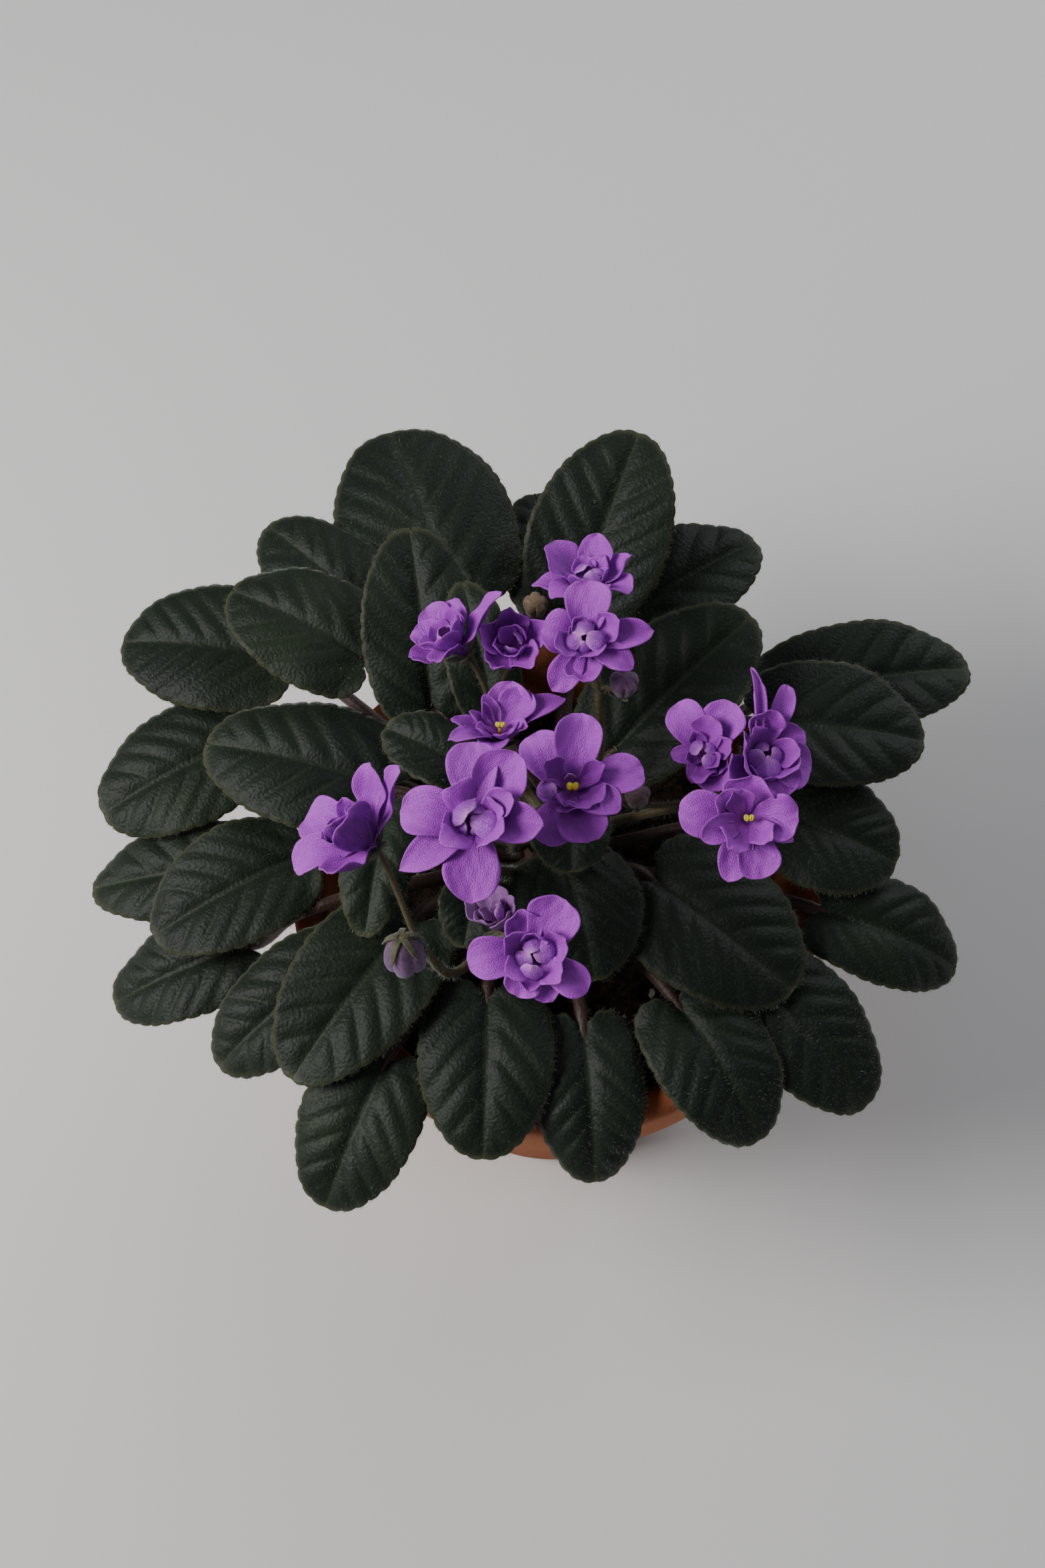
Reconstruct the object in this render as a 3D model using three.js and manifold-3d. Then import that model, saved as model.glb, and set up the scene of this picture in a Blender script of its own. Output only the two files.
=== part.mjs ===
// A potted african violet: a terracotta pot of soil, a short crown, a rosette of hairy leaves on
// thick stalks, and six forked flower stalks with double lavender blooms, buds and anthers.
// Millimetres, +Z up. The origin is the middle of the pot's underside, and -Y is the front.
import * as THREE from "three";
import { mergeVertices } from "three/addons/utils/BufferGeometryUtils.js";
import Module from "manifold-3d";

const wasm = await Module();
wasm.setup();

// Driving dimensions of the pot, the soil and the crown.
const GAP = 0.3; // between pieces that touch
const POT = {
  height: 122, rim: 70, waist: 61, foot: 46, // radii at the rim, under the collar and at the foot
  collar: 26, wall: 6, lip: 8, floor: 8, edge: 1, sides: 36,
};
const DRAIN = { radius: 5, orbit: 24, count: 3, sides: 12 };
const SOIL = { level: 106, lump: 0.8, clearance: 1, sides: 18, rings: [0.84, 0.62, 0.4, 0] };
const CROWN = { x: -2, y: 6, radius: 7, foot: 92, top: 141, sides: 10 };

// Leaves and flower stalks leave the crown in rings, one above the other, the oldest lowest.
const RINGS = [112, 117, 122, 127, 132, 137];

// Leaf blades. Their teeth point away from a spot at this fraction of their length, and their
// rows lie closer together towards the base by the power crowding.
const BLADE = {
  thickness: 0.9, midrib: 0.9, tooth: 0.035, middle: 0.42, dome: 1, quilt: 0.4, columns: 4, crowding: 1.6,
};
// Half of a leaf's outline from the notch at its stalk, round the lobe, to the tip. Lengths are
// fractions of the blade's length, widths are fractions of its full width.
const HALF_OUTLINE = new THREE.SplineCurve([
  new THREE.Vector2(0, 0),
  new THREE.Vector2(-0.11, 0.16),
  new THREE.Vector2(-0.07, 0.35),
  new THREE.Vector2(0.13, 0.47),
  new THREE.Vector2(0.4, 0.5),
  new THREE.Vector2(0.67, 0.43),
  new THREE.Vector2(0.88, 0.28),
  new THREE.Vector2(0.98, 0.13),
  new THREE.Vector2(1, 0),
]);

// Each leaf: the middle of its base and its tip as [x, y, height above the rim], its width, how far
// it bows up along its length, how far its edges lift (or drop, below zero), and where its stalk
// starts: the ring on the crown and the bearing there in degrees.
const LEAVES = {
  back_outer: { base: [-30, 81, 6], tip: [-47, 131, 8], width: 50, bow: 4, lift: -2, from: [1, 107] },
  back_tall: { base: [6, 73, 16], tip: [22, 114, 34], width: 38, bow: 2, lift: 3, from: [2, 83] },
  back_under: { base: [3, 79, 1], tip: [-6, 118, -4], width: 31, bow: 3, lift: -1, from: [0, 85] },
  back_right: { base: [22, 73, 10], tip: [55, 94, 10], width: 30, bow: 3, lift: 1, from: [1, 66] },
  right_tall: { base: [15, 28, 18], tip: [50, 58, 34], width: 36, bow: 2, lift: 3, from: [3, 62] },
  right_far: { base: [59, 48, 6], tip: [112, 58, 4], width: 33, bow: 4, lift: 2, from: [0, 35] },
  right_mid: { base: [53, 36, 17], tip: [96, 31, 15], width: 36, bow: 3, lift: 1, from: [3, 28] },
  right_low: { base: [60, 11, 12], tip: [88, 0, 6], width: 34, bow: 3, lift: -1, from: [2, 5] },
  front_right: { base: [25, -8, 14], tip: [59, -36, 9], width: 40, bow: 3, lift: -1, from: [3, 330] },
  front_mid: { base: [1, -6, 20], tip: [9, -35, 14], width: 34, bow: 3, lift: -1, from: [3, 290] },
  front_left: { base: [-38, -19, 12], tip: [-67, -58, 6], width: 35, bow: 4, lift: 2, from: [2, 214] },
  front_low: { base: [-18, -38, 10], tip: [-19, -77, 1], width: 34, bow: 4, lift: -1, from: [2, 252] },
  left_low: { base: [-69, 1, 7], tip: [-105, -18, 0], width: 33, bow: 3, lift: 1, from: [2, 180] },
  left_far: { base: [-86, 37, 2], tip: [-122, 19, -6], width: 36, bow: 3, lift: -1, from: [0, 140] },
  left_big: { base: [-44, 19, 13], tip: [-93, 32, 11], width: 37, bow: 4, lift: -2, from: [3, 168] },
  left_back_far: { base: [-76, 61, 6], tip: [-119, 67, 2], width: 38, bow: 3, lift: -1, from: [1, 145] },
  left_back: { base: [-52, 53, 21], tip: [-87, 72, 22], width: 33, bow: 3, lift: -1, from: [3, 138] },
  back_left: { base: [-48, 68, 10], tip: [-80, 99, 10], width: 31, bow: 3, lift: -1, from: [2, 127] },
  back_left_tall: { base: [-33, 39, 21], tip: [-39, 82, 38], width: 32, bow: 2, lift: 2, from: [4, 128] },
  left_under: { base: [-80, 3, -2], tip: [-125, 1, -15], width: 28, bow: 3, lift: -1, from: [0, 185] },
  left_lowest: { base: [-83, -18, -7], tip: [-118, -29, -22], width: 28, bow: 3, lift: -1, from: [1, 190] },
  front_left_under: { base: [-54, -26, 6], tip: [-87, -51, -6], width: 29, bow: 5, lift: -1, from: [1, 222] },
  front_left_low: { base: [-44, -54, 5], tip: [-59, -86, -12], width: 31, bow: 4, lift: -1, from: [0, 235] },
  front_mid_low: { base: [6, -45, 6], tip: [9, -80, -10], width: 28, bow: 6, lift: -1, from: [0, 280] },
  front_right_low: { base: [30, -39, 8], tip: [50, -71, -4], width: 31, bow: 6, lift: -1, from: [1, 300] },
  right_front_low: { base: [50, -31, 5], tip: [79, -60, -10], width: 32, bow: 5, lift: -1, from: [0, 330] },
  right_under: { base: [69, -12, 4], tip: [105, -22, -12], width: 30, bow: 4, lift: -1, from: [1, 350] },
};
const YOUNG_LEAVES = {
  young_front: { base: [2, 6, 28], tip: [3, -11, 27], width: 21, bow: 2, lift: 1, from: [5, 300] },
  young_left_front: { base: [-44, 9, 21], tip: [-49, -24, 16], width: 19, bow: 3, lift: -1, from: [4, 185] },
  young_back: { base: [-17, 35, 25], tip: [-25, 67, 36], width: 19, bow: 2, lift: 1, from: [4, 95] },
  young_left: { base: [-25, 20, 23], tip: [-45, 31, 23], width: 19, bow: 2, lift: 1, from: [4, 158] },
  young_front_left: { base: [-21, -12, 22], tip: [-24, -28, 19], width: 16, bow: 2, lift: 1, from: [3, 225] },
};
const OLD = { rows: 9, stalk: 2, stalkEnd: 0.8 };
const YOUNG = { rows: 8, stalk: 1.4, stalkEnd: 0.6 };
// Leaf stalks. They bend at one fraction of their way and arch by another. They pass under the
// notch and end inside the blade, at these fractions of the blade's length.
const STALK = { sides: 5, step: 17, bend: 0.55, arch: 0.04, notch: 0.12, drop: 0.6, end: 0.1, overLip: 2 };

// Petals. Their shoulders, waist and the notches between them lie at these fractions of a petal's
// length, and a petal takes no more than this share of the gap to the next. They fold from a circle
// of the root's radius, lean sideways and curl down at the tip.
const PETAL = {
  thickness: 0.8, shoulder: 0.76, waist: 0.45, notch: 0.5, share: 0.42, lean: 0.8, curl: 0.8, root: 2,
};
const THROAT = { depth: 2.6, innerDepth: 1.4, innerRise: 1.2 };
const BLOOM_UP = new THREE.Vector3(0, 1, 0.4);

// Each bloom: its throat as [x, y, height above the rim], the direction it faces as a bearing and
// a height in degrees, its outer petals and its inner petals. Each petal is four numbers: its
// direction round the bloom in degrees, its length, its width, and how far it is folded up towards
// the bloom's middle, in degrees.
const BLOOMS = {
  bloom_1: {
    at: [8, 59, 46], face: [100, 62],
    outer: [[155, 13.5, 12, 20], [184, 15, 9, 10], [75, 11, 11, 35], [16, 13.5, 11, 25], [333, 13, 10, 15]],
    inner: [[110, 7, 7, 55], [50, 7, 6, 60], [250, 6, 6, 50]],
  },
  bloom_2: {
    at: [6, 39, 55], face: [270, 80],
    outer: [
      [85, 15.5, 13, 20], [169, 11.5, 12, 22], [7, 17.5, 9, 12],
      [329, 14, 8, 8], [239, 15, 9, 6], [268, 13, 11, 30],
    ],
    inner: [[35, 10, 8, 45], [120, 6, 7, 60], [215, 6, 6, 55], [300, 7, 7, 50]],
  },
  bloom_3: {
    at: [-11, 42, 48], face: [240, 70],
    outer: [
      [160, 12, 11, 60], [235, 12, 11, 55], [310, 12, 11, 52],
      [20, 12, 11, 60], [90, 11, 11, 62],
    ],
    inner: [[60, 8, 7, 72], [200, 8, 7, 72]],
  },
  bloom_4: {
    at: [-25, 40, 51], face: [150, 48],
    outer: [
      [31, 19, 11, 35], [288, 11, 11, 38], [181, 13, 10, 45],
      [145, 13.5, 10, 48], [102, 12.5, 11, 42], [225, 12, 10, 40],
    ],
    inner: [[75, 9, 8, 62], [165, 8, 8, 65], [250, 9, 8, 60]],
  },
  bloom_5: {
    at: [-15, 15.5, 50], face: [80, 68], anthers: true,
    outer: [
      [74, 14, 13, 38], [29, 20, 10, 18], [174, 13, 8, 30],
      [115, 10.5, 7, 45], [202, 14.5, 8, 18], [250, 10, 9, 25],
    ],
    inner: [[290, 6, 8, 50], [205, 7, 6, 45]],
  },
  bloom_6: {
    at: [2.6, -1.6, 56], face: [270, 84], anthers: true,
    outer: [
      [82, 19, 14, 22], [131, 17, 12, 15], [15, 18, 11, 15],
      [330, 13, 11, 22], [284, 15, 14, 24], [241, 15, 11, 4],
    ],
    inner: [[35, 9, 9, 50], [190, 8, 8, 55], [262, 8, 10, 48], [318, 9, 8, 52]],
  },
  bloom_7: {
    at: [-20, -15, 68], face: [250, 78],
    outer: [
      [172, 18, 12, 12], [213, 22, 10, 6], [269, 19, 14, 10],
      [354, 17, 12, 18], [58, 19, 15, 28], [91, 19, 13, 14],
    ],
    inner: [[124, 9, 9, 45], [248, 9, 7, 52], [302, 9, 7, 50], [20, 6, 6, 58], [180, 6, 6, 55]],
  },
  bloom_8: {
    at: [-46, -14, 55], face: [165, 58],
    outer: [
      [79, 17.5, 12, 42], [42, 23, 11, 42], [168, 18, 13, 24],
      [213, 19, 11, 20], [272, 17.5, 12, 34], [345, 14, 13, 50],
    ],
    inner: [[110, 9, 8, 60], [235, 9, 8, 62], [10, 9, 8, 66]],
  },
  bloom_9: {
    at: [36.5, 13, 44], face: [215, 66],
    outer: [
      [117, 15.5, 11, 24], [57, 15.5, 12, 24], [175, 8.5, 8, 22],
      [292, 10.5, 10, 24], [243, 7, 8, 20], [334, 7, 9, 40],
    ],
    inner: [[90, 7, 6, 60], [200, 6, 5, 60], [300, 6, 5, 58]],
  },
  bloom_10: {
    at: [47.5, 9, 52], face: [325, 70],
    outer: [
      [98, 21, 8, 30], [68, 19, 10, 20], [26, 13, 11, 24],
      [344, 12.5, 13, 20], [300, 11.5, 12, 22], [212, 14, 10, 36],
    ],
    inner: [[130, 8, 7, 58], [255, 7, 6, 55], [5, 7, 6, 60]],
  },
  bloom_11: {
    at: [43.5, -10.5, 60], face: [275, 72], anthers: true,
    outer: [
      [176, 16, 12, 16], [85, 11.5, 13, 40], [357, 12.5, 12, 22],
      [253, 14.5, 9, 6], [282, 13.5, 11, 6], [333, 10.5, 9, 22],
    ],
    inner: [[140, 8, 8, 48], [200, 9, 8, 40], [235, 8, 8, 44], [345, 6, 6, 55]],
  },
  bloom_12: {
    at: [-6.5, -43, 56], face: [265, 70],
    outer: [
      [60, 15, 13, 26], [184, 16, 11, 14], [110, 12, 11, 32],
      [327, 15, 9, 12], [290, 11.5, 9, 10], [247, 9.5, 10, 16],
    ],
    inner: [[20, 9, 9, 50], [140, 8, 7, 55], [215, 7, 7, 48], [290, 7, 7, 52]],
  },
  bloom_13: {
    at: [-15, -31, 46], face: [130, 62],
    outer: [[110, 9, 9, 50], [170, 9, 9, 55], [40, 8, 8, 55], [320, 8, 8, 60], [240, 8, 8, 60]],
    inner: [[80, 5, 5, 70]],
  },
};
const ANTHER = { radius: 1.12, length: 1.5, spread: 0.8, filament: 0.4, foot: 2, height: 2.4 };

// Each flower stalk: where it leaves the crown (ring and bearing), the point it passes and the point
// it forks at, the blooms it carries and its buds, each bud with its place and length.
const FLOWER_STALKS = {
  stalk_left: {
    from: [3, 250], way: [[-26, -33, 15], [-34, -33, 34]], blooms: ["bloom_8"],
    buds: [{ at: [-37, -40, 50], hang: true, length: 11 }],
  },
  stalk_front: { from: [4, 240], way: [[-18, -14, 32], [-14, -30, 38]], blooms: ["bloom_12", "bloom_13"] },
  stalk_middle: {
    from: [5, 210], way: [[-10, -1, 30], [-11, -2, 38]], blooms: ["bloom_5", "bloom_6", "bloom_7"],
  },
  stalk_back: {
    from: [5, 60], way: [[10, 20, 28], [10, 34, 38]], blooms: ["bloom_1", "bloom_2"],
    buds: [{ at: [16, 32, 46], length: 8 }, { at: [-6, 54, 46], length: 7 }],
  },
  stalk_back_left: { from: [5, 120], way: [[-14, 21, 25], [-17, 31, 33]], blooms: ["bloom_3", "bloom_4"] },
  stalk_right: {
    from: [4, 15], way: [[24, 6, 26], [38, 4, 38]], blooms: ["bloom_9", "bloom_10", "bloom_11"],
    buds: [{ at: [19, 4, 40], length: 7 }],
  },
};
const PEDUNCLE = { radius: 1.2, sides: 5, steps: 7 };
const PEDICEL = { radius: 0.8, sides: 5, steps: 3, sink: 1, leave: 4, arrive: 6 };
const CALYX = { reach: 5.5, waist: 1.8, thickness: 0.9, sepals: 5 };
const BUD = { slimness: 0.8, sink: 1, sides: 6, rings: 4, hanging: new THREE.Vector3(0.1, -0.3, -1) };

const UP = new THREE.Vector3(0, 0, 1);
const radians = THREE.MathUtils.degToRad;

// A point given as [x, y, height above the pot's rim].
function aboveRim([x, y, height]) {
  return new THREE.Vector3(x, y, POT.height + height);
}

// The horizontal direction of a bearing, counted from +X towards +Y.
function bearing(degrees) {
  return new THREE.Vector3(Math.cos(radians(degrees)), Math.sin(radians(degrees)), 0);
}

// A closed geometry as a solid, with its shared corners merged and its empty triangles dropped.
function solid(geometry) {
  geometry.deleteAttribute("normal");
  geometry.deleteAttribute("uv");
  const merged = mergeVertices(geometry, 1e-4);
  const corners = merged.index.array;
  const kept = [];
  for (let i = 0; i < corners.length; i += 3) {
    const [a, b, c] = corners.slice(i, i + 3);
    if (a !== b && b !== c && c !== a) kept.push(a, b, c);
  }
  return new wasm.Manifold(
    new wasm.Mesh({
      numProp: 3,
      vertProperties: merged.attributes.position.array,
      triVerts: new Uint32Array(kept),
    }),
  );
}

// A thin curved sheet. point(row, column, below) gives its upper face where below is 0 and its
// lower face where below is 1, and both faces are split into triangles alike. A closed sheet runs
// all the way round: its row 0 is one point in the middle, and its last column meets its first.
function sheet(rows, columns, closed, point) {
  const perRow = closed ? columns : columns + 1;
  const face = (rows + 1) * perRow;
  const positions = [];
  for (const below of [0, 1])
    for (let row = 0; row <= rows; row++)
      for (let column = 0; column < perRow; column++) {
        positions.push(...point(row, column, below).toArray());
      }
  const index = [];
  const quad = (a, b, c, d) => index.push(a, b, c, a, c, d);
  const at = (row, column) => row * perRow + (column % perRow);
  for (let row = 0; row < rows; row++)
    for (let column = 0; column < columns; column++) {
      const corners = [at(row, column), at(row + 1, column), at(row + 1, column + 1), at(row, column + 1)];
      if (column < columns / 2) corners.push(corners.shift());
      quad(...corners);
      const [p, q, r, s] = corners.map((corner) => corner + face);
      index.push(p, r, q, p, s, r);
    }
  const rim = (p, q) => quad(p, p + face, q + face, q);
  for (let row = 0; row < rows && !closed; row++) {
    rim(at(row, 0), at(row + 1, 0));
    rim(at(row + 1, columns), at(row, columns));
  }
  for (let column = 0; column < columns; column++) {
    rim(at(rows, column), at(rows, column + 1));
    rim(at(0, column + 1), at(0, column));
  }
  const geometry = new THREE.BufferGeometry();
  geometry.setAttribute("position", new THREE.Float32BufferAttribute(positions, 3));
  geometry.setIndex(index);
  return geometry;
}

// A round tube along a curve, closed at both ends, whose radius runs from one value to another.
function taperedTube(curve, steps, sides, startRadius, endRadius) {
  const section = new THREE.Shape();
  for (let side = 0; side < sides; side++) {
    const turn = (2 * Math.PI * side) / sides;
    if (side === 0) section.moveTo(startRadius, 0);
    else section.lineTo(startRadius * Math.cos(turn), startRadius * Math.sin(turn));
  }
  section.closePath();
  const geometry = new THREE.ExtrudeGeometry(section, { steps, extrudePath: curve, curveSegments: 1 });
  const centres = curve.getSpacedPoints(steps);
  const position = geometry.getAttribute("position");
  const corner = new THREE.Vector3();
  for (let i = 0; i < position.count; i++) {
    corner.fromBufferAttribute(position, i);
    const distances = centres.map((centre) => centre.distanceTo(corner));
    const step = distances.indexOf(Math.min(...distances));
    const scale = THREE.MathUtils.lerp(1, endRadius / startRadius, step / steps);
    corner.sub(centres[step]).multiplyScalar(scale).add(centres[step]);
    position.setXYZ(i, corner.x, corner.y, corner.z);
  }
  return geometry;
}

const plant = new THREE.Group();

// Adds one piece, joined from its solids, as a named mesh.
function addPiece(name, solids, { color, roughness }) {
  const joined = solids.reduce((whole, next) => whole.add(next));
  const { vertProperties, triVerts } = joined.getMesh();
  const geometry = new THREE.BufferGeometry();
  geometry.setAttribute("position", new THREE.BufferAttribute(vertProperties, 3));
  geometry.setIndex(new THREE.BufferAttribute(triVerts, 1));
  geometry.computeVertexNormals();
  const material = new THREE.MeshStandardMaterial({ color, roughness, metalness: 0, flatShading: true });
  const mesh = new THREE.Mesh(geometry, material);
  mesh.name = name;
  plant.add(mesh);
}

// The inside of the pot from under its lip down to the middle of its floor, as [radius, height].
function potInside() {
  const { height, rim, waist, foot, collar, wall, lip, floor, edge } = POT;
  return [
    [rim - lip, height - 4 * edge],
    [waist - wall, height - collar - wall],
    [foot - wall, floor],
    [0, floor],
  ];
}

// The pot: a turned shell with a collar, a rounded lip and three drain holes round the middle.
function pot() {
  const { height, rim, waist, foot, collar, lip, edge, sides } = POT;
  const shoulder = height - collar;
  const profile = [
    [0, 0],
    [foot - edge, 0],
    [foot, edge],
    [waist, shoulder - edge],
    [rim - 2 * edge, shoulder],
    [rim, height - 3 * edge],
    [rim - 2 * edge, height - 0.6 * edge],
    [rim - lip / 2, height],
    [rim - lip + edge, height - 0.8 * edge],
    ...potInside(),
  ].map(([x, y]) => new THREE.Vector2(x, y));
  const turned = new THREE.LatheGeometry(profile, sides).rotateX(Math.PI / 2);
  let body = solid(turned);
  for (let i = 0; i < DRAIN.count; i++) {
    const drill = new THREE.CylinderGeometry(DRAIN.radius, DRAIN.radius, 3 * POT.floor, DRAIN.sides);
    drill.rotateX(Math.PI / 2);
    drill.translate(...bearing(90 + (360 * i) / DRAIN.count).multiplyScalar(DRAIN.orbit).toArray());
    body = body.subtract(solid(drill));
  }
  return body;
}

// The soil fills the pot to well below its rim, with a crumbly top and a plain hole for the crown.
function soil() {
  const [lip, shoulder, floor] = potInside();
  const clear = (radius) => radius - SOIL.clearance;
  const rise = THREE.MathUtils.inverseLerp(shoulder[1], lip[1], SOIL.level);
  const top = clear(THREE.MathUtils.lerp(shoulder[0], lip[0], rise));
  const profile = [
    [0, floor[1] + GAP],
    [clear(floor[0]), floor[1] + GAP],
    [clear(shoulder[0]), shoulder[1]],
    [top, SOIL.level - 1],
    ...SOIL.rings.map((ring) => [ring * top, SOIL.level]),
  ].map(([x, y]) => new THREE.Vector2(x, y));
  const geometry = new THREE.LatheGeometry(profile, SOIL.sides).rotateX(Math.PI / 2);
  const position = geometry.getAttribute("position");
  for (let i = 0; i < position.count; i++) {
    const x = position.getX(i);
    const y = position.getY(i);
    const z = position.getZ(i);
    const crumb = Math.sin(0.31 * x + 1) * Math.cos(0.27 * y) + Math.sin(0.9 * x - 0.7 * y);
    if (z > SOIL.level - 0.5) position.setZ(i, z + SOIL.lump * crumb);
  }
  const { x, y, radius, foot, sides } = CROWN;
  const hole = new THREE.CylinderGeometry(radius + GAP, radius + GAP, SOIL.level, sides);
  hole.rotateX(Math.PI / 2).translate(x, y, foot - GAP + SOIL.level / 2);
  return solid(geometry).subtract(solid(hole));
}

// The crown: a stubby upright stem with a domed top, standing in its hole in the soil.
function crown() {
  const { x, y, radius, foot, top, sides } = CROWN;
  const profile = [[0, foot], [radius, foot], [radius, top - 3], [0.6 * radius, top - 0.6], [0, top]];
  const points = profile.map(([r, z]) => new THREE.Vector2(r, z));
  return solid(new THREE.LatheGeometry(points, sides).rotateX(Math.PI / 2).translate(x, y, 0));
}

// Where a stalk leaves the crown, and a point straight out from there.
function leaveCrown([ring, direction], radius) {
  const out = bearing(direction);
  const start = new THREE.Vector3(CROWN.x, CROWN.y, RINGS[ring]).addScaledVector(out, CROWN.radius + GAP);
  return [start, start.clone().addScaledVector(out, 3 * radius)];
}

// A leaf's own frame: x along its blade from base to tip, z out of its upper face.
function leafFrame({ base, tip }) {
  const origin = aboveRim(base);
  const along = aboveRim(tip).sub(origin).normalize();
  const side = UP.clone().cross(along).normalize();
  const normal = along.clone().cross(side);
  return new THREE.Matrix4().makeBasis(along, side, normal).setPosition(origin);
}

// One leaf: a quilted, scalloped heart-shaped blade, thicker along its midrib, and its stalk, which
// clears the pot's lip where it passes over it.
function leaf(spec, { rows, stalk, stalkEnd }) {
  const frame = leafFrame(spec);
  const length = aboveRim(spec.base).distanceTo(aboveRim(spec.tip));
  const { width, bow, lift } = spec;
  const spine = (x) => 4 * bow * x * (1 - x);
  const blade = sheet(rows, BLADE.columns, false, (row, column, below) => {
    const t = row / rows;
    const across = (2 * column) / BLADE.columns - 1;
    const wave = row % 2 === 1 ? 1 : -1;
    const edge = HALF_OUTLINE.getPoint(t);
    const inside = row > 0 && row < rows;
    if (inside) edge.x = BLADE.middle + (edge.x - BLADE.middle) * (1 + BLADE.tooth * wave);
    if (inside) edge.y *= 1 + BLADE.tooth * wave;
    const out = Math.abs(across);
    const x = THREE.MathUtils.lerp(t ** BLADE.crowding, edge.x, out);
    const puff = inside ? 4 * out * (1 - out) * 2 * edge.y * (BLADE.dome + BLADE.quilt * wave) : 0;
    const edgeLift = lift * (4 * edge.y ** 2) * out ** 2;
    const depth = BLADE.thickness + (out === 0 ? BLADE.midrib : 0);
    const z = spine(THREE.MathUtils.clamp(x, 0, 1)) + edgeLift + puff - below * depth;
    return new THREE.Vector3(length * x, width * edge.y * across, z);
  });
  const rib = (x, depth) => {
    const height = spine(Math.max(x, 0)) - depth;
    return new THREE.Vector3(length * x, 0, height).applyMatrix4(frame);
  };
  const [start, out] = leaveCrown(spec.from, stalk);
  const nearBlade = rib(-STALK.notch, stalk + STALK.drop);
  const middle = out.clone().lerp(nearBlade, STALK.bend);
  middle.z += STALK.arch * out.distanceTo(nearBlade);
  const reach = Math.hypot(nearBlade.x, nearBlade.y);
  const lip = POT.rim - POT.lip / 2;
  if (reach > lip) {
    middle.lerpVectors(out, nearBlade, lip / reach);
    middle.z = Math.max(middle.z, POT.height + stalk + STALK.overLip);
  }
  const end = rib(STALK.end, BLADE.thickness);
  const path = new THREE.CatmullRomCurve3([start, out, middle, nearBlade, end]);
  const steps = Math.max(3, Math.round(path.getLength() / STALK.step));
  const tube = taperedTube(path, steps, STALK.sides, stalk, stalkEnd);
  return [solid(blade.applyMatrix4(frame)), solid(tube)];
}

// A bloom's own frame: z is the way it faces, and y is up as seen from the front and above.
function bloomFrame({ at, face: [azimuth, height] }) {
  const facing = bearing(azimuth).multiplyScalar(Math.cos(radians(height)));
  facing.z = Math.sin(radians(height));
  const right = BLOOM_UP.clone().cross(facing).normalize();
  const upward = facing.clone().cross(right);
  return new THREE.Matrix4().makeBasis(right, upward, facing).setPosition(aboveRim(at));
}

// One ring of petals in its bloom's frame: a cup cut into rounded lobes, each with its own
// length, width and fold, and each with one edge turned up and the other down. Its middle is a
// cone that reaches down by the given depth.
function petalRing(ring, rise, depth) {
  const petals = [...ring].sort((a, b) => a[0] - b[0]);
  const gapBetween = ([from], [to]) => THREE.MathUtils.euclideanModulo(to - from, 360);
  const spokes = petals.flatMap((petal, i) => {
    const [direction, length, width, fold] = petal;
    const next = petals[(i + 1) % petals.length];
    const [, nextLength, , nextFold] = next;
    const gap = gapBetween(petal, next);
    const gapBefore = gapBetween(petals.at(i - 1), petal);
    const spread = THREE.MathUtils.radToDeg(Math.atan2(width / 2, PETAL.shoulder * length));
    const left = direction - Math.min(spread, PETAL.share * gapBefore);
    const right = direction + Math.min(spread, PETAL.share * gap);
    const notch = PETAL.notch * Math.min(length, nextLength);
    return [
      { direction: left, reach: PETAL.shoulder * length, fold, lean: -PETAL.lean },
      { direction, reach: length, fold, lean: 0 },
      { direction: right, reach: PETAL.shoulder * length, fold, lean: PETAL.lean },
      { direction: direction + gap / 2, reach: notch, fold: (fold + nextFold) / 2, lean: 0 },
    ];
  });
  return sheet(2, spokes.length, true, (row, column, below) => {
    const { direction, reach, fold, lean } = spokes[column];
    const isNotch = column % 4 === 3;
    const distance = row === 2 ? reach : row * PETAL.waist * (isNotch ? reach / PETAL.notch : reach);
    const beyond = Math.max(0, distance - PETAL.root);
    const off = (row === 2 ? lean - PETAL.curl : 0) - below * PETAL.thickness;
    const [sine, cosine] = [Math.sin(radians(fold)), Math.cos(radians(fold))];
    const out = Math.min(distance, PETAL.root) + beyond * cosine - off * sine;
    const height = beyond * sine + off * cosine;
    const point = bearing(direction).multiplyScalar(row === 0 ? 0 : out);
    point.z = rise + (row === 0 ? -below * depth : height);
    return point;
  });
}

// One bloom: a ring of outer petals on a short throat, with a steeper ring of inner petals.
function bloom(spec) {
  const frame = bloomFrame(spec);
  const outer = petalRing(spec.outer, 0, THROAT.depth);
  const inner = petalRing(spec.inner, THROAT.innerRise, THROAT.innerRise + THROAT.innerDepth);
  return [outer, inner].map((ring) => solid(ring.applyMatrix4(frame)));
}

// The two joined yellow anthers of a bloom, on a short filament over its throat.
function anthers(spec) {
  const frame = bloomFrame(spec);
  const stem = new THREE.CylinderGeometry(ANTHER.filament, ANTHER.filament, ANTHER.height, 5);
  stem.rotateX(Math.PI / 2).translate(0, 0, ANTHER.foot + ANTHER.height / 2);
  const lobes = [-1, 1].map((hand) => {
    const lobe = new THREE.IcosahedronGeometry(1, 0).scale(ANTHER.radius, ANTHER.length, ANTHER.radius);
    return lobe.translate(hand * ANTHER.spread, 0, ANTHER.foot + ANTHER.height);
  });
  return [stem, ...lobes].map((piece) => solid(piece.applyMatrix4(frame)));
}

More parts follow.
